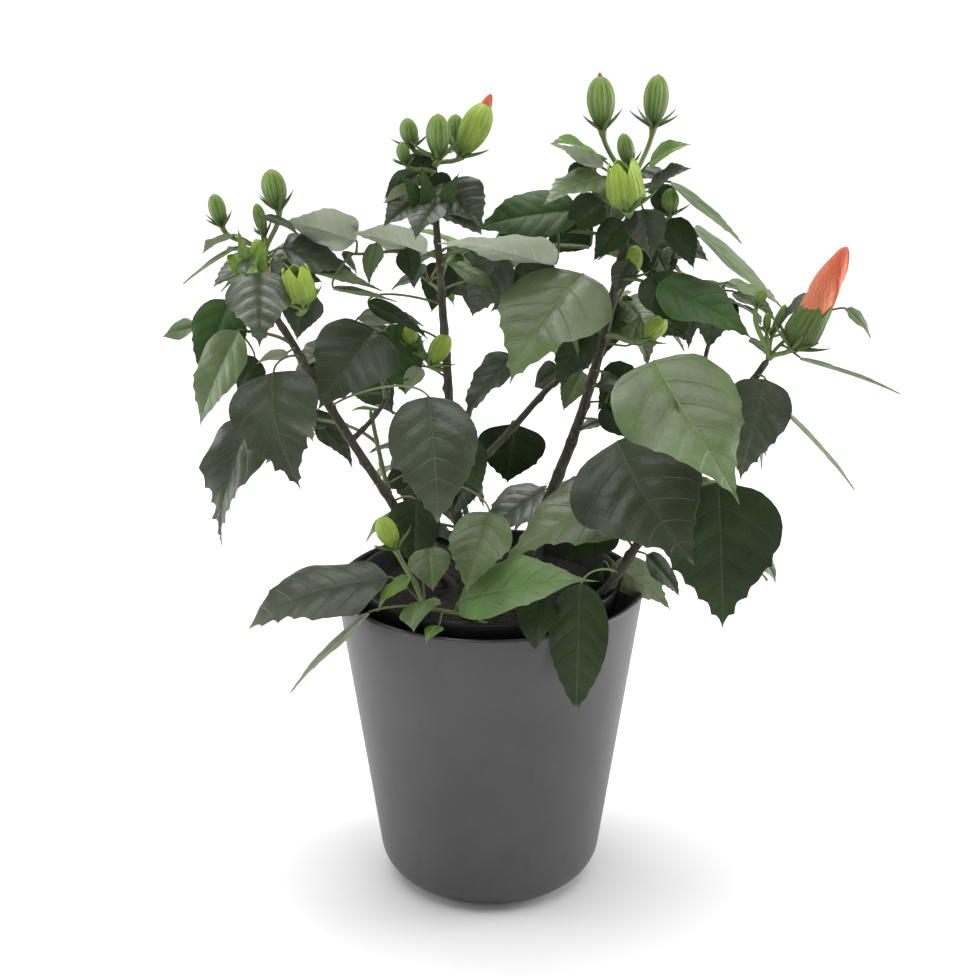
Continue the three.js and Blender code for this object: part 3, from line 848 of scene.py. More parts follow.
# The leading leaves of each mass. Foot and tip are shares of the mass's own half sizes from its middle:
# right, back and up are positive. Then come the width as a share of the length, how far the face is
# rolled from the front towards the sky in degrees, and the look. The box comes from the frame; the shares
# are typed to a tenth.
LEADING = {
    "leaves_left_top": (
        ((-0.2, 0.6, 0.0), (-0.9, 0.3, -0.4), 0.45, 70, "edge"),
        ((0.2, 0.0, -0.2), (0.3, -0.9, -0.9), 0.72, 5, "wet"),
        ((0.8, 0.2, -0.5), (0.7, -0.1, -1.0), 0.9, 0, "old"),
        ((-0.2, 0.9, -0.4), (-0.5, 0.8, -0.5), 0.7, 50, "old"),
        ((0.1, 0.4, -0.5), (-0.1, 0.3, 0.3), 0.3, 0, "lime"),
        ((0.1, 0.3, -0.5), (0.3, 0.2, 0.2), 0.32, 0, "lime"),
        ((0.1, 0.4, -0.5), (-0.3, 0.3, -0.1), 0.34, 20, "lime"),
        ((0.1, 0.2, -0.4), (0.2, 0.0, 0.0), 0.5, 20, "lime"),
    ),
    "leaves_left_side": (
        ((0.5, 0.5, 0.9), (-0.1, 0.1, -0.4), 0.66, 20, "green"),
        ((0.7, 0.0, 0.5), (-0.1, -0.3, -1.0), 0.55, 25, "mid"),
        ((-0.3, 0.8, 0.4), (-1.0, 0.9, 0.2), 0.8, 40, "mid"),
        ((0.9, 0.8, -0.1), (0.5, 0.8, -0.7), 0.9, 0, "deep"),
    ),
    "leaves_left_low": (
        ((0.1, -0.1, 0.7), (0.8, -1.0, -0.9), 0.74, 15, "swayed"),
        ((0.3, 0.9, 0.8), (-0.5, 1.0, 0.6), 0.45, 130, "mid"),
    ),
    "leaves_left_lowest": (((0.9, 0.3, 1.1), (-0.3, -0.6, -1.0), 0.5, 28, "ragged"),),
    "leaves_left_inner": (
        ((0.4, 0.0, 0.7), (-0.6, -1.0, -0.7), 0.85, 10, "old"),
        ((0.7, 0.9, 0.6), (0.9, 0.9, -0.9), 0.75, 20, "green"),
        ((1.2, 0.9, -0.3), (0.9, 0.8, -0.9), 0.7, 140, "mid"),
    ),
    "leaves_green_tip": (
        ((0.7, -0.3, 0.2), (-1.2, 0.3, -0.2), 0.7, 10, "deep"),
        ((0.2, -0.4, -0.9), (-1.2, 0.0, -1.1), 0.3, 60, "young"),
    ),
    "leaves_left_behind": (
        ((0.0, 0.4, 0.0), (-1.0, -0.3, 0.6), 0.9, 125, "pale"),
        ((-1.0, -0.5, -0.1), (0.0, 0.3, -1.0), 0.8, 52, "wet"),
        ((1.0, 0.2, -0.3), (-0.1, -0.3, 0.3), 0.7, 114, "pale"),
        ((-0.2, 0.6, -0.4), (0.0, 0.7, -1.0), 0.5, 50, "old"),
        ((-0.9, -0.6, -0.4), (0.4, -0.4, -1.3), 0.42, 64, "edge"),
        ((-0.3, -1.0, -1.1), (0.6, -0.9, -1.5), 0.45, 70, "edge"),
        ((0.3, -0.2, 0.0), (0.2, -0.8, -1.1), 0.55, 30, "mid"),
        ((0.7, 0.2, -0.2), (0.8, 0.0, -1.1), 0.75, 10, "deep"),
    ),
    "leaves_centre_top": (
        ((-0.3, 0.2, -0.2), (-0.9, 0.0, -0.5), 0.75, 20, "deep"),
        ((-0.3, 0.0, -0.4), (-0.9, -0.6, -0.5), 0.7, 130, "mid"),
        ((-0.3, -0.2, -0.5), (-0.9, -0.8, -0.8), 0.75, 20, "crumpled"),
        ((0.0, -0.6, -0.5), (-0.3, -1.3, -0.9), 0.9, 30, "wet"),
        ((0.2, -0.1, -0.3), (0.9, -0.7, -0.9), 0.85, 20, "crumpled"),
        ((0.0, -0.4, -0.8), (-0.2, -0.5, 0.0), 0.32, 10, "green"),
        ((0.1, -0.4, -0.7), (0.5, -0.6, -0.1), 0.36, 10, "green"),
        ((-0.1, -0.3, -0.7), (-0.6, -0.5, -0.1), 0.36, 20, "green"),
        ((0.2, -0.1, -0.5), (0.9, -0.8, -0.8), 0.7, 35, "crumpled"),
        ((0.0, 0.3, -0.2), (0.3, 0.2, -0.6), 0.8, 0, "deep"),
        ((-0.1, 0.8, 0.0), (-0.5, 0.9, -0.5), 0.8, 0, "deep"),
    ),
    "leaves_centre_under": (
        ((0.2, 0.6, 0.3), (0.0, 0.7, -1.0), 0.7, 0, "deep"),
        ((0.3, 0.8, -0.1), (0.8, 1.0, -0.6), 0.75, 0, "old"),
        ((0.4, -0.8, 0.6), (1.1, -1.0, 0.0), 0.65, 50, "mid"),
        ((0.8, 0.1, -0.1), (0.7, 0.1, -0.9), 0.85, 0, "old"),
        ((-1.0, -0.8, -0.3), (0.0, -0.9, -1.2), 0.35, 40, "deep"),
        ((-0.4, 0.2, -1.3), (-0.6, 0.0, -2.3), 0.7, 135, "mid"),
    ),
    "leaves_centre_right": (
        ((0.4, -0.3, -0.7), (-1.5, -1.3, 0.1), 0.5, 112, "pale"),
        ((0.8, 0.4, 0.6), (-0.9, 0.2, 0.1), 0.6, 30, "green"),
        ((1.0, 1.0, 0.3), (0.3, 1.2, -0.8), 0.8, 10, "deep"),
        ((1.0, 0.4, -0.4), (0.0, 0.4, -0.4), 0.4, 72, "edge"),
    ),
    "leaves_centre_big": (
        ((0.8, 0.6, 0.8), (-0.4, -0.9, -0.5), 0.78, 28, "broad"),
        ((0.4, 0.9, 0.8), (-0.7, 0.9, 0.2), 0.7, 35, "old"),
        ((-0.3, 0.7, -0.4), (-1.1, 0.2, -1.3), 0.6, 45, "ragged"),
        ((-0.5, 1.2, 1.0), (-1.0, 1.1, 0.1), 0.7, 10, "old"),
        ((0.9, 1.0, 0.0), (0.4, 0.9, -0.9), 0.6, 10, "deep"),
    ),
    "leaves_centre_front": (
        ((-0.1, 0.9, 1.0), (0.1, -0.9, -0.9), 0.7, 12, "hanging"),
        ((0.6, 1.5, 0.2), (1.0, 1.2, -0.8), 0.6, 10, "deep"),
    ),
    # Painted shade: these dark leaves fill the shaded heart of the shrub; the last stands where there is only
    # shade between the stems.
    "leaves_centre_inner": (
        ((-1.1, 1.5, 0.8), (-1.9, 1.6, 0.3), 0.7, 0, "deep"),
        ((0.8, 0.6, 1.4), (0.2, 0.6, -0.2), 0.7, 30, "deep"),
        ((-0.8, -0.7, 0.9), (-0.8, -0.7, -1.2), 0.7, 10, "deep"),
    ),
    "leaves_diagonal_tip": (
        ((1.0, -0.6, 1.4), (-0.1, 0.1, 0.2), 0.65, 20, "deep"),
        ((-0.3, 0.4, 0.0), (-1.1, 1.1, -0.9), 0.7, 20, "deep"),
        ((0.4, -0.6, 0.2), (-0.2, -1.0, -1.1), 0.75, 35, "puckered"),
    ),
    "leaves_round_behind": (((0.0, -0.4, 1.0), (-0.2, 0.4, -1.2), 0.98, 0, "deep"),),
    "leaves_right_top": (
        ((-0.3, 0.0, 0.4), (-1.1, -1.1, 0.1), 0.66, 40, "glossy"),
        ((-0.3, 0.5, 0.6), (-1.0, -0.4, 0.9), 0.62, 62, "young"),
        ((-0.3, 0.3, 0.5), (-1.0, -0.4, 0.9), 0.34, 118, "pale"),
        ((0.3, 0.0, 0.6), (0.8, -0.5, 0.9), 0.6, 50, "young"),
        ((0.3, -0.2, 0.3), (0.8, -0.8, 0.6), 0.7, 50, "wet"),
        ((0.6, 0.2, 0.3), (1.5, -0.7, -0.5), 0.5, 66, "edge"),
        ((0.2, -0.6, 0.0), (0.3, -1.1, -0.7), 0.78, 0, "wet"),
        ((0.6, 0.0, -0.2), (0.9, -0.3, -0.9), 0.6, 15, "deep"),
        ((-0.3, 0.6, 0.0), (-0.8, 0.5, -0.5), 0.75, 15, "deep"),
        ((0.0, 0.4, -0.3), (-0.4, 0.4, -0.9), 0.7, 20, "deep"),
        ((0.1, 0.6, -0.9), (-0.1, 0.6, -1.4), 0.75, 0, "old"),
        ((-0.5, 0.9, 0.5), (-0.7, 0.9, 0.1), 0.8, 0, "deep"),
        ((0.4, 0.4, 0.2), (0.7, 0.4, -0.2), 0.8, 0, "deep"),
    ),
    "leaves_right_arm": (((-0.6, 0.3, 0.7), (1.2, 1.0, -1.2), 0.55, 68, "edge"),),
    "leaves_right_upper": (
        ((-0.6, 0.5, 1.1), (0.0, -0.2, -0.8), 0.75, 15, "deep"),
        ((-0.5, 0.2, 0.9), (1.1, -0.6, -0.8), 0.58, 32, "green"),
    ),
    "leaves_right_tip": (
        ((-0.4, 0.0, -0.6), (1.1, -0.9, -1.0), 0.42, 77, "edge"),
        ((-1.1, 1.0, -0.5), (-0.7, 1.2, -0.8), 0.6, 60, "old"),
    ),
    "leaves_right_side": (
        ((-0.5, 0.7, 0.9), (-0.9, -0.2, -0.8), 0.66, 15, "old"),
        ((-0.5, 1.2, 0.1), (-1.0, 0.8, -0.7), 0.7, 20, "deep"),
        ((-0.1, 0.6, 0.3), (1.0, -0.2, -1.0), 0.45, 76, "edge"),
    ),
    "leaves_right_big": (((-0.3, 1.0, 1.0), (1.0, -0.9, -1.0), 0.82, 25, "broad"),),
    "leaves_right_inner": (
        ((0.2, 1.1, 1.0), (0.4, 1.1, 1.8), 0.85, 0, "mid"),
        ((0.0, 0.2, 0.2), (-0.7, -0.4, 0.3), 0.7, 30, "deep"),
        ((-0.4, 0.0, -0.2), (0.5, -0.7, -1.1), 0.7, 10, "deep"),
        ((-0.2, 1.1, -0.5), (0.8, 1.3, -1.4), 0.6, 50, "old"),
        ((-0.5, 0.5, -0.8), (-1.0, 0.2, -1.0), 0.7, 50, "old"),
        ((0.2, 0.6, 0.6), (-0.6, 0.2, -0.5), 0.7, 20, "deep"),
    ),
    "leaves_right_low": (((-0.6, 1.0, 1.1), (0.7, -0.9, -1.0), 0.92, 5, "veined"),),
    "leaves_right_outer": (
        ((-0.2, 0.8, 1.1), (-0.1, -0.6, -1.0), 0.84, 0, "deep"),
        ((0.6, 0.8, 0.0), (0.9, 0.8, -0.5), 0.55, 40, "mid"),
    ),
    "leaves_middle_low": (
        ((1.1, 1.2, 0.9), (-1.0, -0.9, -0.8), 0.7, 52, "mid"),
        ((0.8, 1.0, -0.2), (0.0, 0.2, -1.0), 0.7, 40, "deep"),
    ),
    "leaves_foot_front": (
        ((-0.8, 0.3, -1.0), (1.0, -0.9, 0.7), 0.56, 50, "fresh"),
        ((-0.4, 1.5, 2.4), (-0.7, 0.0, -0.4), 0.72, 18, "mid"),
    ),
    "leaves_foot_hanging": (
        ((0.4, 1.0, 1.1), (0.3, -0.2, -1.0), 0.48, 12, "flat"),
        ((-0.8, 1.2, 0.8), (-0.9, 0.1, 0.0), 0.8, 20, "deep"),
    ),
    "leaves_foot_right": (
        ((0.1, -1.0, 0.8), (1.2, -1.1, -0.4), 0.5, 40, "deep"),
        ((-0.9, -0.1, 0.3), (1.0, -0.8, -0.9), 0.68, 140, "mid"),
        ((-1.2, 0.1, 0.3), (-1.2, 0.1, -0.9), 0.9, 0, "deep"),
    ),
    "leaves_foot_left": (((1.1, 0.4, 1.0), (-1.0, -0.5, -0.8), 0.66, 58, "hanging"),),
    "leaves_foot_left_low": (((0.9, 0.9, 1.3), (-1.1, -0.9, -1.1), 0.45, 80, "edge"),),
    "leaves_foot_shoot": (
        ((0.8, 0.6, 0.3), (1.0, 0.0, -0.4), 0.95, 0, "mid"),
        ((0.2, 0.6, -0.3), (-0.9, 0.1, -0.9), 0.6, 58, "young"),
        ((0.7, 0.0, -0.6), (0.4, -0.9, -0.9), 1.0, 40, "fresh"),
        ((1.2, -0.6, -0.9), (0.8, -1.0, -1.1), 0.8, 40, "young"),
    ),
}
# How many seeded leaves stand behind the leading ones, in masses deep enough to hide them.
FILLED = {
    "leaves_left_top": 3, "leaves_left_low": 1, "leaves_left_inner": 4, "leaves_centre_under": 3,
    "leaves_centre_right": 5, "leaves_centre_big": 4, "leaves_centre_inner": 3, "leaves_centre_front": 2,
    "leaves_right_top": 6, "leaves_right_upper": 3, "leaves_right_big": 4, "leaves_right_inner": 3,
    "leaves_right_low": 4, "leaves_right_outer": 3, "leaves_right_side": 2, "leaves_right_tip": 2,
    "leaves_foot_front": 3, "leaves_foot_shoot": 2, "leaves_foot_right": 1,
}
# The second look, drawn for three seeded leaves in ten, wears the darkest tone: painted shade for the leaves
# that fill the inside and the back.
SEEDED_LOOKS = ("old", "deep", "hanging", "mid", "puckered", "young")
SEEDED_SHARES = (0.3, 0.3, 0.15, 0.12, 0.08, 0.05)
# The pieces that the leaves are joined into, bough by bough, and the masses that each stands for.
BOUGHS = {
    "left": ("left_top", "left_side", "left_low", "left_lowest", "left_inner", "left_behind", "green_tip"),
    "centre": ("centre_top", "centre_under", "centre_front", "centre_inner"),
    "middle": ("centre_right", "centre_big", "diagonal_tip", "round_behind"),
    "right": ("right_top", "right_arm", "right_inner"),
    "low_right": ("right_upper", "right_tip", "right_side", "right_big", "right_low", "right_outer"),
    "foot": (
        "middle_low", "foot_right", "foot_front", "foot_hanging", "foot_left", "foot_left_low", "foot_shoot",
    ),
    "back_left": ("back_left", "back_left_low", "back_left_high"),
    "back_centre": ("back_centre", "back_centre_high", "back_centre_low", "back_top"),
    "back_right": ("back_right", "back_right_mid", "back_right_low"),
    "back_foot": ("back_foot", "back_foot_left"),
}
OVERHANG = 10.0  # how far a seeded blade at the back may reach out of the box of its mass
LEAF_ROOM = 250.0  # a mass at the back has three seeded leaves and one more for so many square millimetres
BACK_LEAF = (2.1, 22, 72)  # a seeded leaf's length as a share of its mass's half size, and the limits to it
FILL_LEAF = (1.75, 20, 60)  # the same behind leading leaves
SHORTEST_LEAF = 14.0
# Seeded leaves behind leading ones keep clear of this share of the box at its low corner, and then of
# this share of what is left at its high corner. They may pass the back a little.
FREE_LOW = (0.16, 0.45, 0.2)
FREE_HIGH = (0.16, -0.12, 0.16)
SHOWN_FEET = 0.3  # how far out from the middle of the box the feet of seeded leaves lie
HIDDEN_FEET = 0.5
LARGE_LEAF = 34.0  # a longer blade has a finer mesh and full teeth
SMALL_TEETH = 0.55  # the teeth of the others, as a share of the full ones
SWEEP = 0.36  # how far along the blade a side vein's tip lies beyond its foot, and how soon it gets there
SWEEP_RISE = 0.07
TWIG_LEAVES = 3  # a mass with fewer leaves, or closer to a limb than the gap, gets no twig
TWIG_GAP = 16.0
STALK_DROP = 4.0  # a stalk would rather start this far below its leaf's foot
# The tones of the leaves: what they are called, and the colours of the upper face, of the midrib and
# veins, and of the underside.
TONES = {
    # Painted shade: the first tone is a darker green that stands in for the shade inside the shrub and at its
    # back, where its leaves are set.
    "deep": ("darkest", (0.018, 0.036, 0.010), (0.045, 0.075, 0.024), (0.10, 0.14, 0.06)),
    "old": ("old", (0.034, 0.048, 0.024), (0.080, 0.112, 0.048), (0.16, 0.20, 0.115)),
    "green": ("richest", (0.028, 0.066, 0.012), (0.07, 0.125, 0.03), (0.14, 0.19, 0.09)),
    "mid": ("grown", (0.084, 0.128, 0.045), (0.14, 0.19, 0.075), (0.23, 0.28, 0.16)),
    "fresh": ("fresh", (0.076, 0.142, 0.036), (0.13, 0.20, 0.06), (0.22, 0.29, 0.14)),
    # Partly painted light: the palest tone is the real paler underside of a leaf, made brighter still to stand
    # in for light that these downward faces do not get.
    "pale": ("palest", (0.14, 0.18, 0.10), (0.25, 0.30, 0.17), (0.45, 0.50, 0.38)),
    "young": ("young", (0.10, 0.19, 0.03), (0.20, 0.30, 0.08), (0.26, 0.33, 0.18)),
    "lime": ("newest", (0.16, 0.28, 0.04), (0.26, 0.40, 0.10), (0.22, 0.33, 0.12)),
}
YOUNG_TONES = ("young", "lime")  # the tones whose leaves are pieces of their own
SIDES_OF_LEAF = {"": "upper face", "_rib": "midrib and veins", "_under": "underside"}


def outline(margin, base_power, tip_power):
    """Half the width of a blade, peak 1, at a share of its length: share^a (1 - share)^b, a round foot
    and a drawn-out tip."""
    peak = base_power / (base_power + tip_power)
    height = peak**base_power * (1 - peak) ** tip_power
    return margin**base_power * (1 - margin) ** tip_power / height


def leaf_face(foot, tip, roll):
    """The way that the upper face of a leaf looks: square to its midrib, towards the front, and rolled
    from there towards the sky."""
    along = unit(tip - foot)
    open_face = unit(FRONT - FRONT.dot(along) * along)
    skyward = np.cross(along, open_face)
    if skyward[2] < 0:
        skyward = -skyward
    return math.cos(math.radians(roll)) * open_face + math.sin(math.radians(roll)) * skyward


def blade(sheaf, foot, tip, face, width, look, thickness, rng, cell, cells):
    """One leaf. A row of points runs from the midrib out to the margin along a side vein: at u along the
    midrib it meets the margin at u + s(u), with s(u) = 0.36 (1 - exp(-u / 0.07)) (1 - u)^1.15, and bends
    there as |v|^1.4. The outline pushes out and forward at each vein's end, as a tooth. The height is the
    sum of the look's arch, fold, cup, wave and quilt. The underside keeps the thickness below it and
    shares its edge."""
    look = PLAIN | LOOKS[look]
    length = np.linalg.norm(tip - foot)
    along = unit(tip - foot)
    face = unit(face - face.dot(along) * along)
    across = np.cross(along, face)
    large = length > LARGE_LEAF
    fine = 4 if large else 2
    walk = np.arange(1, VEINS * fine + 1)
    near_foot = (0.0, 0.004, 0.011, 0.018, 0.029, 0.057) if large else (0.0, 0.013, 0.038)
    u = np.sort(np.concatenate((near_foot, walk / walk[-1])))[:, None]
    sweep = SWEEP * (1 - np.exp(-u / SWEEP_RISE)) * (1 - u) ** 1.15
    margin = u + sweep
    half = width / 2 * outline(margin, rng.uniform(0.6, 0.75), look["taper"] + rng.uniform(-0.2, 0.2))
    half = np.maximum(half, np.where(u < 0.5, 0.45, 0.12))
    rib = np.minimum(0.0065 * length * (1 - 0.8 * u) / half, 0.16)
    steps = (0.22, 0.5, 0.8, 1.0) if large else (0.45, 1.0)
    v = np.hstack([-s + 0 * u for s in steps[::-1]] + [-rib, 0 * rib, rib] + [s + 0 * u for s in steps])
    out = np.abs(v)
    phase = (u * VEINS) % 1.0
    bite = np.interp(phase, (0, 0.25, 0.5, 0.75, 1.0), (1.0, 0.0, -0.4, 0.1, 1.0))
    bite = bite * rise(0.34, 0.55, margin) * (1 - rise(0.93, 0.99, margin)) * (out == 1.0)
    tooth = np.minimum((u * VEINS - 0.01).astype(int), VEINS - 1)
    size = rng.uniform(0.15, 1.5, (2, VEINS)) * look["teeth"] * length * (1.0 if large else SMALL_TEETH)
    size = np.where(v < 0, size[0][tooth], size[1][tooth])
    x = v * half + np.sign(v) * bite * size * 0.75
    lobes = 0.05 * length * out**1.5 * np.exp(-u / 0.025) * rise(0, 0.02, u)
    y = length * (u + sweep * out**1.4) + bite * size * 0.8 - lobes
    t = y / length
    z = look["arch"] * length * 4 * t * (1 - t) * (1 + look["droop"] * (t - 0.5))
    spread = np.sqrt(x**2 + (0.04 * width) ** 2) - 0.04 * width
    z = z + look["fold"] * spread * (1 - 0.25 * t)
    z = z - look["cup"] * width * (spread / (width / 2)) ** 2.5
    for side in (-1, 1):
        wander = 0
        for ripples, share in ((rng.uniform(0.8, 1.6), 1.0), (rng.uniform(2.2, 3.6), 0.5)):
            wander = wander + share * np.sin(TURN * (ripples * t + rng.uniform()))
        wander = wander * out**1.7 * rise(0.02, 0.3, t) * (1 - t) ** 0.7
        z = z + (v * side > 0) * look["wave"] * length * wander
    puff = np.sin(np.pi * np.minimum(out, 1)) ** 0.7 * (0.5 - 0.5 * np.cos(TURN * phase)) * (1 - u) ** 0.5
    z = z + look["quilt"] * length * puff * rise(0.02, 0.1, u) - 0.35 * (out < 0.5 * rib) * (1 - u)
    x = x + look["sway"] * length * 4 * t * (1 - t)
    turn = math.radians(look["twist"]) * rng.uniform(-1, 1) * t
    x, z = x * np.cos(turn) - z * np.sin(turn) * 0.3, z + x * np.sin(turn)
    rows, columns = x.shape
    below = z - thickness * (1 + 2.2 * (out <= rib * 1.01) * (1 - 0.6 * u))

    def place(height):
        return (foot + x[..., None] * across + y[..., None] * along + height[..., None] * face).reshape(-1, 3)

    number = np.arange(rows * columns).reshape(rows, columns)
    inner = np.zeros((rows, columns), bool)
    inner[1:-1, 1:-1] = True
    lower = number.copy()
    lower[inner] = rows * columns + np.arange(inner.sum())
    first = sheaf.add(np.vstack((place(z), place(below)[inner.ravel()])))
    top = grid(rows, columns)
    bottom = lower.ravel()[top[:, (0, 3, 2, 1)]]
    tone = list(TONES).index(look["tone"]) * len(SIDES_OF_LEAF)
    strip = np.tile(np.arange(columns - 1), rows - 1)
    is_rib = (strip == columns // 2 - 1) | (strip == columns // 2)
    pattern = np.stack((v, np.broadcast_to(u, v.shape)), axis=-1).reshape(-1, 2)
    pattern = np.vstack((pattern, pattern[inner.ravel()]))
    spot = np.stack(((x / width + 0.5), t), axis=-1).reshape(-1, 2)
    spot = np.clip(np.vstack((spot, spot[inner.ravel()])), 0.0, 1.0) * 0.92 + 0.04
    upper = np.where(is_rib, tone + 1, tone)
    under = np.full(len(bottom), tone + 2)
    for side, (faces, finish) in enumerate(((top, upper), (bottom, under))):
        corner = np.array(divmod(2 * cell + side, cells)[::-1])
        sheaf.cover(first, faces, finish, pattern, (corner + spot) / cells)


def twig_line(feet):
    """A twig from the nearest limb to the middle of the leaves' feet, for three leaves or more that no
    limb reaches, and None for others: it sets off upwards and bows over."""
    if len(feet) < TWIG_LEAVES:
        return None
    goal = np.mean(feet, axis=0)
    near, gap = nearest(goal, LIMB_POINTS)
    if gap < TWIG_GAP:
        return None
    start_way = 0.35 * gap * unit(unit(goal - near) + 0.5 * UP)
    return bowed(near, start_way, goal, 0.3 * gap * unit(goal - near), max(6, int(gap / 2.5)))


def nearest(point, candidates, below=1.5):
    """The candidate that a stalk to the point would start from, and how far it is: one that isn't above
    is better, by this much for each millimetre."""
    away = np.linalg.norm(candidates - point, axis=1)
    climb = np.maximum(0, candidates[:, 2] - point[2] + STALK_DROP)
    best = np.argmin(away + below * climb)
    return candidates[best], away[best]


LIMB_POINTS = np.vstack([limb_line(name)[0] for name in BARKED + GREEN])


def spray(mass, count, size, rng, shown):
    """Leaves for one mass: their feet lie in a spiral over an oval inside the mass's box, and each blade
    hangs out and down from its foot with its face outwards and up. With nothing in front of them, when
    shown is true, their feet lie near the middle and a tip may leave the box by the overhang. Behind
    leading leaves, when it is false, they keep to the back of the box."""
    low, high = corners(mass)
    centre, half = (low + high) / 2, (high - low) / 2
    if shown:
        low = np.maximum(low - OVERHANG, np.array(CAD_BOX[0]) / MM)
        high = np.minimum(high + OVERHANG, np.array(CAD_BOX[1]) / MM)
    else:
        low = low + (high - low) * FREE_LOW
        high = high - (high - low) * FREE_HIGH
        centre, half = (low + high) / 2, (high - low) / 2
    rows = []
    number = np.arange(count) + 0.5
    height = 1 - 2 * number / count
    turn = SPIRAL * number + rng.uniform(0, TURN)
    level = np.sqrt(1 - height**2)
    for way in np.stack((level * np.cos(turn), level * np.sin(turn), height), axis=1):
        outward = half * way * (SHOWN_FEET if shown else HIDDEN_FEET)
        foot = centre + outward + 0.12 * half * UP + rng.normal(size=3) * 2
        flat = unit(way * (1, 1, 0) + 0.001)
        along = unit(flat * rng.uniform(0.7, 1.2) - UP * rng.uniform(0.15, 1.0) + 0.3 * rng.normal(size=3))
        length = size * rng.uniform(0.7, 1.15)
        room = np.where(along > 0, (high - foot), (foot - low)) / np.maximum(np.abs(along), 0.05)
        length = min(length, max(0.0, room.min() * 1.04))
        if length < SHORTEST_LEAF:
            continue
        face = unit(way + 0.9 * UP + 0.25 * rng.normal(size=3))
        rows.append((foot, foot + along * length, face, length * rng.uniform(0.62, 0.76)))
    return rows


def leaves_of(mass, rng):
    """Every leaf of a mass: its leading ones, then the seeded ones that fill its depth."""
    centre = middle(mass)
    low, high = corners(mass)
    half = (high - low) / 2
    leaves = []
    for foot, tip, plump, roll, look in LEADING.get(mass, ()):
        foot, tip = centre + half * foot, centre + half * tip
        face = leaf_face(foot, tip, roll)
        leaves.append((foot, tip, face, plump * np.linalg.norm(tip - foot), look))
    behind = "_back" in mass
    skin = half[0] * half[1] + half[1] * half[2] + half[0] * half[2]
    count = int(round(3 + skin / LEAF_ROOM)) if behind else FILLED.get(mass, 0)
    share, least, most = BACK_LEAF if behind else FILL_LEAF
    size = float(np.clip(share * half.mean(), least, most))
    for foot, tip, face, width in spray(mass, count, size, rng, behind):
        look = rng.choice(SEEDED_LOOKS, p=SEEDED_SHARES)
        leaves.append((foot, tip, face, width, str(look)))
    return leaves


def stalk(sheaf, foot, along, candidates, rng):
    """A leaf's stalk: it leaves the limb upwards, bows, and comes in along the midrib."""
    start, gap = nearest(foot, candidates, 0.3)
    gap = max(gap, 3.0)
    out = unit(foot - start + 0.001)
    start_way = 0.3 * gap * unit(out + 0.35 * UP)
    path = bowed(start, start_way, foot, 0.22 * gap * unit(along + out), max(5, int(gap / 3)))
    radius = np.linspace(0.75, 0.6, len(path))
    radius[0] = 1.1
    sheaf.tube(path, radius, 6)


def is_young(look):
    """Whether a look has one of the young tones."""
    return (PLAIN | LOOKS[look])["tone"] in YOUNG_TONES


def make_leaves(settings, seed):
    """All leaves with their stalks and twigs, joined bough by bough; the young ones are pieces of their
    own."""
    finishes = leaf_finishes(settings)
    thickness = settings.thickness / MM
    for order, (bough, masses) in enumerate(BOUGHS.items()):
        rng = np.random.default_rng((seed, order))
        names = ["leaves_" + mass for mass in masses]
        leaves = [(mass, leaf) for mass in names for leaf in leaves_of(mass, rng)]
        stalks = Sheaf()
        reach = {}
        for mass in names:
            twig = twig_line([leaf[0] for owner, leaf in leaves if owner == mass])
            reach[mass] = LIMB_POINTS if twig is None else np.vstack((LIMB_POINTS, twig))
            if twig is not None:
                stalks.tube(twig, np.linspace(1.2, 0.8, len(twig)), 8)
        young = [leaf for leaf in leaves if is_young(leaf[1][4])]
        grown = [leaf for leaf in leaves if not is_young(leaf[1][4])]
        for kind, members, nodes in (("foliage", grown, names), ("young_foliage", young, ())):
            sheaf = Sheaf()
            cells = math.ceil(math.sqrt(2 * max(1, len(members))))
            for number, (mass, (foot, tip, face, width, look)) in enumerate(members):
                blade(sheaf, foot, tip, face, width, look, thickness, rng, number, cells)
                stalk(stalks, foot, unit(tip - foot), reach[mass], rng)
            if members:
                sheaf.mesh(f"{kind}_{bough}", finishes, kind, nodes, crease=75)
        stalks.mesh(f"leaf_stalks_{bough}", [stalk_finish(settings)], "green_stem")


def leaf_finishes(settings):
    """The finishes of every tone in the order upper face, midrib, underside."""
    made = []
    for tone in TONES:
        upper = getattr(settings, tone)
        rib = getattr(settings, tone + "_rib")
        under = getattr(settings, tone + "_under")
        gloss, shine = (0.22, 0.4) if tone in ("deep", "green") else (0.5, 0.32)
        made.append(leaf_upper_finish(settings, f"leaf {tone} upper", upper, rib, gloss, shine))
        made.append(plain_green_finish(f"leaf {tone} midrib", rib, 0.42))
        made.append(leaf_under_finish(f"leaf {tone} underside", under))
    return made


def stalk_finish(settings):
    """The leaf stalks share one finish."""
    found = bpy.data.materials.get("leaf stalk")
    return found or green_stem_finish(bpy.context.scene.hibiscus_stems, "leaf stalk", settings.stalk, 0.6)


# --- Buds -----------------------------------------------------------------------------------------

SEPALS = 5
BRACTS = 7
SHUT_PEAK = 0.396  # the greatest value of the shut cup's formula, which brings its width to 1
FLOWER_LEAN = np.array((12.0, 0.0, 29.0))  # how far the long rolled bud reaches past its cup
OPEN_KINDS = ("open", "flower")
# Which of the cups' finishes a kind has; the other kinds have the lime one.
CUP_FINISH = {"shut": 0, "tip": 0, "flower": 3}
LIME = 1
LINING = 2


def bud_frame(foot, tip):
    """The bud's own axis and the two directions square to it."""
    axis = unit(tip - foot)
    side = unit(np.cross(axis, (0.3, 1.0, 0.2)))
    return axis, side, np.cross(axis, side)


def round_body(foot, axes, length, radius, heights, reach):
    """Points of a shape of revolution: heights (rows by sides) along the axis and reach (rows by sides)
    out from it, both as shares."""
    axis, side, other = axes
    sides = reach.shape[1]
    angle = np.arange(sides) / sides * TURN
    ring = np.cos(angle)[:, None] * side + np.sin(angle)[:, None] * other
    up = (length * heights)[..., None] * axis
    return (foot + up + (radius * reach)[..., None] * ring[None]).reshape(-1, 3)


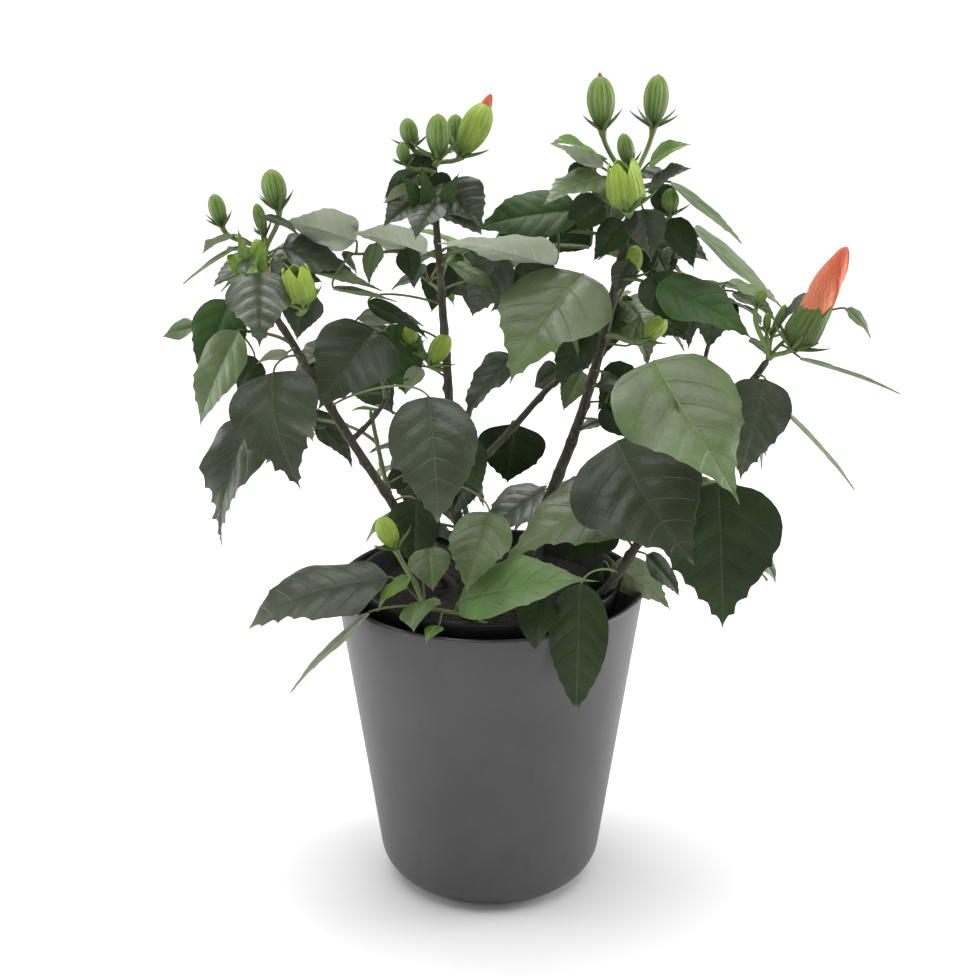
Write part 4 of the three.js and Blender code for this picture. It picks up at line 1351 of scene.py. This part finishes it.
def calyx(sheaf, foot, tip, width, kind, finish, rng):
    """A cup of five sepals. A shut one reaches out as s^0.75 (1 - s)^0.6 at a share s of its height, with
    a ribbed skin and a dent where two sepals meet. An open one widens over its lowest third and then
    keeps its width to a mouth of five broad points, which lean in; between them the mouth is 0.76 as
    high."""
    rows, sides = 17, 40
    axis, side, other = bud_frame(foot, tip)
    start = rng.uniform(-0.3, 0.3) + TURN / 20
    cosine = math.cos(start)
    sine = math.sin(start)
    axes = (axis, cosine * side + sine * other, cosine * other - sine * side)
    length = np.linalg.norm(tip - foot)
    s = np.linspace(0, 1, rows)[:, None]
    angle = (np.arange(sides) / sides * TURN)[None]
    rib = (0.5 + 0.5 * np.cos(2 * SEPALS * angle)) ** 2
    seam = (0.5 - 0.5 * np.cos(SEPALS * angle)) ** 6
    off_middle = np.abs(2 * ((SEPALS * angle / TURN + 0.5) % 1.0) - 1)
    if kind in OPEN_KINDS:
        point = 1 - off_middle
        fold = 0.22 * rise(0.5, 1.0, s) * point
        body = rise(-0.05, 0.35, s) ** 0.8 * (1 - 0.14 * s - fold)
        reach = body * (1 + 0.05 * rib * (1 - s))
        heights = s * (0.76 + 0.24 * np.sin(point * np.pi / 2))
    else:
        reach = s**0.75 * (1 - s) ** 0.6 / SHUT_PEAK
        reach = reach * (1 + 0.035 * rib - 0.12 * seam * rise(0.2, 1.0, s))
        heights = s + 0 * angle
    first = sheaf.add(round_body(foot, axes, length, width / 2, heights, np.maximum(reach, 0.03)))
    pattern = np.stack(np.broadcast_arrays(off_middle, s), axis=-1).reshape(-1, 2)
    sheaf.cover(first, grid(rows, sides, closed=True), finish, pattern)
    if kind in OPEN_KINDS:
        rim = (rows - 1) * sides + np.arange(sides)
        inner_reach = np.maximum(reach - 0.09, 0.02)
        inner = round_body(foot, axes, length, width / 2, heights * 0.97 + 0.02, inner_reach)
        second = sheaf.add(inner)
        step = second - first
        sheaf.cover(second, grid(rows, sides, closed=True, inward=True), LINING, pattern)
        bridge = np.stack((rim, np.roll(rim, -1), np.roll(rim, -1) + step, rim + step), axis=1)
        sheaf.cover(first, bridge, finish, np.vstack((pattern, pattern)))
        sheaf.cover(first, np.arange(sides)[::-1][None], finish, pattern)
        sheaf.cover(second, np.arange(sides)[None], LINING, pattern)
    else:
        sheaf.cover(first, caps(rows, sides), finish, pattern)


def bracts(sheaf, foot, tip, width, rng):
    """The narrow leaflets under a calyx: thin tapering tubes that flare out from its foot and bend
    upwards."""
    axis, side, other = bud_frame(foot, tip)
    length = np.linalg.norm(tip - foot)
    start = rng.uniform(0, TURN)
    for number in range(BRACTS):
        angle = start + (number + rng.uniform(-0.25, 0.25)) * TURN / BRACTS
        out = math.cos(angle) * side + math.sin(angle) * other
        reach = min(length, 24) * rng.uniform(0.26, 0.5)
        stand_off = width * rng.uniform(0.5, 0.62) + reach * rng.uniform(0.1, 0.9)
        base = foot + 0.1 * width * out + 0.02 * length * axis
        end = foot + out * stand_off + axis * reach
        end_way = 0.3 * (stand_off * out + 1.5 * reach * axis)
        path = bowed(base, 0.4 * (stand_off * out + reach * axis), end, end_way, 8)
        shape = np.array((0.8, 0.85, 0.85, 0.78, 0.66, 0.5, 0.32, 0.1))
        sheaf.tube(path, shape * (0.6 + width / 24), 5)


def petals(sheaf, foot, tip, width):
    """A bud of rolled petals: a spindle whose outline has five steps that wind round it, so each petal's
    edge lies over the next one. It is fullest below its middle and its tip is blunt."""
    rows, sides = 44, 80
    axes = bud_frame(foot, tip)
    length = np.linalg.norm(tip - foot)
    s = np.linspace(0, 1, rows)[:, None]
    angle = (np.arange(sides) / sides * TURN)[None]
    wound = (angle / TURN + 0.42 * s**1.3) * SEPALS
    edge = 1 - (wound % 1.0)
    body = (0.62 + 0.38 * np.sin(np.pi * (0.1 + 0.75 * s))) * np.sqrt(1 - s**5) * (1 - 0.22 * s)
    reach = body * (0.88 + 0.16 * edge**1.3)
    first = sheaf.add(round_body(foot, axes, length, width / 2, s + 0 * angle, np.maximum(reach, 0.03)))
    pattern = np.stack((wound + 0 * s, s + 0 * wound), axis=-1).reshape(-1, 2)
    sheaf.cover(first, grid(rows, sides, closed=True), 0, pattern)
    sheaf.cover(first, caps(rows, sides), 0, pattern)


def make_buds(settings, seed):
    """Every bud: calyces, bracts, petals and stalks, each kind joined."""
    rng = np.random.default_rng(seed)
    cups, leaflets, rolls, stalks = Sheaf(), Sheaf(), Sheaf(), Sheaf()
    for mass, foot_share, tip_share, width, kind in BUDS:
        foot = in_box(mass, foot_share)
        tip = in_box(mass, tip_share)
        axis = unit(tip - foot)
        length = np.linalg.norm(tip - foot)
        calyx(cups, foot, tip, width, kind, CUP_FINISH.get(kind, LIME), rng)
        bracts(leaflets, foot, tip, width, rng)
        if kind == "flower":
            petals(rolls, foot + 0.25 * length * axis, tip + FLOWER_LEAN, 18.5)
        if kind == "tip":
            petals(rolls, foot + 0.7 * length * axis, tip + 1.5 * axis, 4.5)
        if kind == "ripe":
            petals(rolls, foot + 0.3 * length * axis, tip + 5 * axis, 9.5)
        start, gap = nearest(foot, LIMB_POINTS)
        way = unit(foot - start + 0.001)
        start_way = 0.35 * gap * unit(way + 0.6 * UP)
        line = bowed(start, start_way, foot + 0.5 * axis, 0.35 * gap * axis, max(6, int(gap / 2.5)))
        radius = np.interp(np.linspace(0, 1, len(line)), (0, 0.1, 0.85, 1), (1.9, 1.35, 1.4, 0.18 * width))
        stalks.tube(line, radius, 8)
    cup = calyx_finish("calyx green", settings.calyx, settings.calyx_foot)
    lining = calyx_finish("calyx lining", settings.lining, settings.lining)
    lime = calyx_finish("calyx lime", settings.lime, settings.calyx, 0.35)
    dark = calyx_finish("calyx dark", tint(settings.calyx, 0.5), settings.calyx_foot, 0.6)
    finishes = [cup, lime, lining, dark]
    cups.mesh("bud_calyces", finishes, "bud", ["buds_right_left", "buds_right_right"], crease=60)
    leaflets.mesh("bud_bracts", [plain_green_finish("bract green", settings.bract, 0.5)], "bud")
    rolls.mesh("bud_petals", [petal_finish(settings)], "petal", crease=50)
    green = green_stem_finish(bpy.context.scene.hibiscus_stems, "bud stalk", settings.stalk, 0.25)
    stalks.mesh("bud_stalks", [green], "green_stem")


# --- Stage ----------------------------------------------------------------------------------------

FLOOR_SIDES = 64
# The lamps: place and size in metres, and power as a share of the setting.
LAMPS = {
    "lamp left": ((-1.7, 0.25, 0.55), 1.1, 1.0),
    "lamp right": ((1.7, 0.3, 0.55), 1.1, 1.7),
    "lamp above": ((-0.3, 0.7, 1.9), 0.9, 0.9),
}
SKY_SPREAD = math.radians(75)
SKY_TILT = math.radians(-8)
SENSOR = 36.0

def make_stage(settings):
    """A wide pale floor, a plain surround that is brightest near the floor, soft lamps, and the camera in
    front of the shrub, a little above it."""
    scene = bpy.context.scene
    scene.view_settings.view_transform = "Standard"
    floor = Finish("pale floor", base_color=(0.95, 0.95, 0.95), roughness=0.9, specular_ior_level=0.1)
    sheet = bpy.data.meshes.new("floor")
    angle = np.arange(FLOOR_SIDES) / FLOOR_SIDES * TURN
    reach = settings.floor_radius
    rim = np.stack((reach * np.cos(angle), reach * np.sin(angle), np.zeros(FLOOR_SIDES)), axis=1)
    sheet.from_pydata(rim.tolist(), [], [list(range(FLOOR_SIDES))])
    sheet.materials.append(floor.material)
    ground = bpy.data.objects.new("floor", sheet)
    scene.collection.objects.link(ground)
    world = bpy.data.worlds.new("studio")
    world.use_nodes = True
    sky = Nodes(world.node_tree)
    background = world.node_tree.nodes["Background"]
    sky.join(background.inputs["Color"], (1.0, 1.0, 1.0))
    way = sky.node("ShaderNodeTexCoord", output="Generated")
    height = sky.node("ShaderNodeSeparateXYZ", {}, {0: way}, output="Z")
    fade = height.step(0.05, 0.55)
    sky.join(background.inputs["Strength"], settings.horizon + fade * (settings.surround - settings.horizon))
    scene.world = world
    heart = np.array((0.0, 0.0, CAD_BOX[1][2] * 0.5))
    for name, (place, size, share) in LAMPS.items():
        light = bpy.data.lights.new(name, "AREA")
        light.size = size
        light.energy = settings.power * share
        lamp = bpy.data.objects.new(name, light)
        lamp.location = place
        lamp.rotation_euler = aim(np.array(place), heart)
        scene.collection.objects.link(lamp)
    skylight = bpy.data.lights.new("skylight", "SUN")
    skylight.energy = settings.skylight
    skylight.angle = SKY_SPREAD
    lamp = bpy.data.objects.new("skylight", skylight)
    lamp.rotation_euler = (SKY_TILT, 0.0, 0.0)
    scene.collection.objects.link(lamp)
    eye = bpy.data.cameras.new("camera")
    eye.lens = settings.lens
    eye.sensor_width = SENSOR
    camera = bpy.data.objects.new("camera", eye)
    camera.location = (0.0, -settings.distance, settings.height)
    camera.rotation_euler = (math.pi / 2 - settings.pitch, 0.0, 0.0)
    scene.collection.objects.link(camera)
    scene.camera = camera


def aim(place, goal):
    """The turn that points a lamp at the goal."""
    x, y, z = goal - place
    return (math.atan2(math.hypot(x, y), -z), 0.0, math.atan2(y, x) - math.pi / 2)


# --- What a user may change -----------------------------------------------------------------------


def colour(name, text, default):
    """A colour property."""
    return bpy.props.FloatVectorProperty(
        name=name, description=text, default=default, subtype="COLOR", size=3, min=0.0, max=1.0
    )


def measure(name, text, default):
    """A length property, in metres."""
    return bpy.props.FloatProperty(name=name, description=text, default=default, min=0.0, unit="LENGTH")


def number(name, text, default):
    """A plain number property."""
    return bpy.props.FloatProperty(name=name, description=text, default=default, min=0.0)


class PotSettings(bpy.types.PropertyGroup):
    """The cover pot, the nursery pot and the soil."""

    taper: measure("Taper", "How much narrower the cover pot's foot is than its rim, in radius", 0.0235)
    nursery_taper: measure("Inner taper", "How much narrower the nursery pot's foot is, in radius", 0.034)
    cover: colour("Cover pot", "Colour of the cover pot", (0.050, 0.047, 0.050))
    nursery: colour("Nursery pot", "Colour of the nursery pot", (0.012, 0.012, 0.013))
    soil: colour("Soil", "Colour of the soil", (0.011, 0.009, 0.007))
    seed: bpy.props.IntProperty(name="Seed", description="Which crumbs the soil has", default=3)


class StemSettings(bpy.types.PropertyGroup):
    """The limbs and the stalks."""

    bark: colour("Bark", "Colour of the woody stems", (0.044, 0.040, 0.026))
    bark_worn: colour("Worn bark", "Colour of the bark's worn patches", (0.10, 0.095, 0.065))
    bark_pore: colour("Pores", "Colour of the bark's pores", (0.17, 0.155, 0.11))
    green: colour("Green stems", "Colour of the green shoots", (0.11, 0.15, 0.035))
    stalk_flush: colour("Flush", "Brown flush on green stalks", (0.075, 0.05, 0.025))
    seed: bpy.props.IntProperty(name="Seed", description="Where the stems' nodes lie", default=11)


class LeafSettings(bpy.types.PropertyGroup):
    """The leaves."""

    thickness: measure("Thickness", "Thickness of a blade", 0.00035)
    tip: colour("Tips", "Yellower colour of the leaves' tips and margins", (0.20, 0.24, 0.05))
    stalk: colour("Leaf stalks", "Colour of the leaf stalks", (0.10, 0.13, 0.035))
    seed: bpy.props.IntProperty(name="Seed", description="How the seeded leaves fall", default=5)


def add_tones(group):
    """Gives a group a colour for each side of each tone of leaf."""
    for tone, (word, *colours) in TONES.items():
        for (ending, side), default in zip(SIDES_OF_LEAF.items(), colours):
            title = f"{word} leaves' {side}"
            setting = colour(title.capitalize(), f"Colour of the {title}", default)
            group.__annotations__[tone + ending] = setting


add_tones(LeafSettings)


class BudSettings(bpy.types.PropertyGroup):
    """The buds."""

    calyx: colour("Calyx", "Colour of the green cups", (0.145, 0.235, 0.042))
    calyx_foot: colour("Calyx foot", "Darker colour at the foot of the cups", (0.045, 0.075, 0.016))
    lime: colour("Young calyx", "Colour of the yellower cups", (0.25, 0.36, 0.042))
    lining: colour("Lining", "Inside of an open cup", (0.20, 0.30, 0.05))
    bract: colour("Bracts", "Colour of the narrow leaflets under a bud", (0.095, 0.150, 0.042))
    petal: colour("Petals", "Colour of the rolled petals", (0.60, 0.17, 0.075))
    petal_tip: colour("Petal tips", "Redder colour of the petals' tips", (0.62, 0.085, 0.03))
    petal_vein: colour("Petal veins", "Paler veins of the petals", (0.90, 0.55, 0.35))
    stalk: colour("Bud stalks", "Colour of the bud stalks", (0.13, 0.19, 0.05))
    seed: bpy.props.IntProperty(name="Seed", description="How the buds are turned", default=8)


class StageSettings(bpy.types.PropertyGroup):
    """The floor, the lamps and the camera."""

    floor_radius: measure("Floor", "Radius of the floor", 14.0)
    horizon: number("Horizon", "Brightness of the surround near the floor", 1.0)
    surround: number("Surround", "Brightness of the surround overhead", 0.18)
    skylight: number("Skylight", "Strength of the wide light from straight above", 2.9)
    power: bpy.props.FloatProperty(
        name="Lamps", description="Power of the left lamp, which the others follow", default=13.0, unit="POWER"
    )
    lens: number("Lens", "Focal length in millimetres on a 36 mm sensor", 66.12)
    distance: measure("Distance", "How far in front of the pot's middle the camera stands", 0.982)
    height: measure("Height", "How high the camera stands", 0.572)
    pitch: bpy.props.FloatProperty(
        name="Pitch",
        description="How far the camera looks down",
        default=math.radians(18.62),
        subtype="ANGLE",
    )


# --- Operators, panel and the run -----------------------------------------------------------------


class HIBISCUS_OT_stage(bpy.types.Operator):
    """Lay the floor, hang the lamps and set up the camera"""

    bl_idname = "hibiscus.stage"
    bl_label = "Stage"

    def execute(self, context):
        make_stage(context.scene.hibiscus_stage)
        return {"FINISHED"}


class HIBISCUS_OT_pots(bpy.types.Operator):
    """Turn the cover pot and the nursery pot"""

    bl_idname = "hibiscus.pots"
    bl_label = "Pots"

    def execute(self, context):
        make_cover_pot(context.scene.hibiscus_pot)
        make_nursery_pot(context.scene.hibiscus_pot)
        return {"FINISHED"}


class HIBISCUS_OT_soil(bpy.types.Operator):
    """Fill the nursery pot with soil"""

    bl_idname = "hibiscus.soil"
    bl_label = "Soil"

    def execute(self, context):
        make_soil(context.scene.hibiscus_pot, context.scene.hibiscus_pot.seed)
        return {"FINISHED"}


class HIBISCUS_OT_stems(bpy.types.Operator):
    """Grow the woody and the green stems"""

    bl_idname = "hibiscus.stems"
    bl_label = "Stems"

    def execute(self, context):
        make_stems(context.scene.hibiscus_stems, context.scene.hibiscus_stems.seed)
        return {"FINISHED"}


class HIBISCUS_OT_leaves(bpy.types.Operator):
    """Hang the leaves on their stalks and twigs"""

    bl_idname = "hibiscus.leaves"
    bl_label = "Leaves"

    def execute(self, context):
        make_leaves(context.scene.hibiscus_leaves, context.scene.hibiscus_leaves.seed)
        return {"FINISHED"}


class HIBISCUS_OT_buds(bpy.types.Operator):
    """Set the buds at the tips of the shoots"""

    bl_idname = "hibiscus.buds"
    bl_label = "Buds"

    def execute(self, context):
        make_buds(context.scene.hibiscus_buds, context.scene.hibiscus_buds.seed)
        return {"FINISHED"}


GROUPS = {
    "hibiscus_pot": PotSettings,
    "hibiscus_stems": StemSettings,
    "hibiscus_leaves": LeafSettings,
    "hibiscus_buds": BudSettings,
    "hibiscus_stage": StageSettings,
}
OPERATORS = (
    HIBISCUS_OT_stage,
    HIBISCUS_OT_pots,
    HIBISCUS_OT_soil,
    HIBISCUS_OT_stems,
    HIBISCUS_OT_leaves,
    HIBISCUS_OT_buds,
)


class HIBISCUS_PT_panel(bpy.types.Panel):
    """Lists the steps that make the shrub, with their settings"""

    bl_label = "Hibiscus"
    bl_idname = "HIBISCUS_PT_panel"
    bl_space_type = "VIEW_3D"
    bl_region_type = "UI"
    bl_category = "Hibiscus"

    def draw(self, context):
        for step in OPERATORS:
            self.layout.operator(step.bl_idname)
        for group, kind in GROUPS.items():
            box = self.layout.box()
            box.label(text=kind.__name__)
            for setting in kind.__annotations__:
                box.prop(getattr(context.scene, group), setting)


def register():
    for kind in (*GROUPS.values(), *OPERATORS, HIBISCUS_PT_panel):
        bpy.utils.register_class(kind)
    for group, kind in GROUPS.items():
        setattr(bpy.types.Scene, group, bpy.props.PointerProperty(type=kind))


def unregister():
    for group in GROUPS:
        delattr(bpy.types.Scene, group)
    for kind in (HIBISCUS_PT_panel, *OPERATORS[::-1], *list(GROUPS.values())[::-1]):
        bpy.utils.unregister_class(kind)


def main():
    register()
    bpy.ops.hibiscus.stage()
    bpy.ops.hibiscus.pots()
    bpy.ops.hibiscus.soil()
    bpy.ops.hibiscus.stems()
    bpy.ops.hibiscus.leaves()
    bpy.ops.hibiscus.buds()


if __name__ == "__main__":
    main()
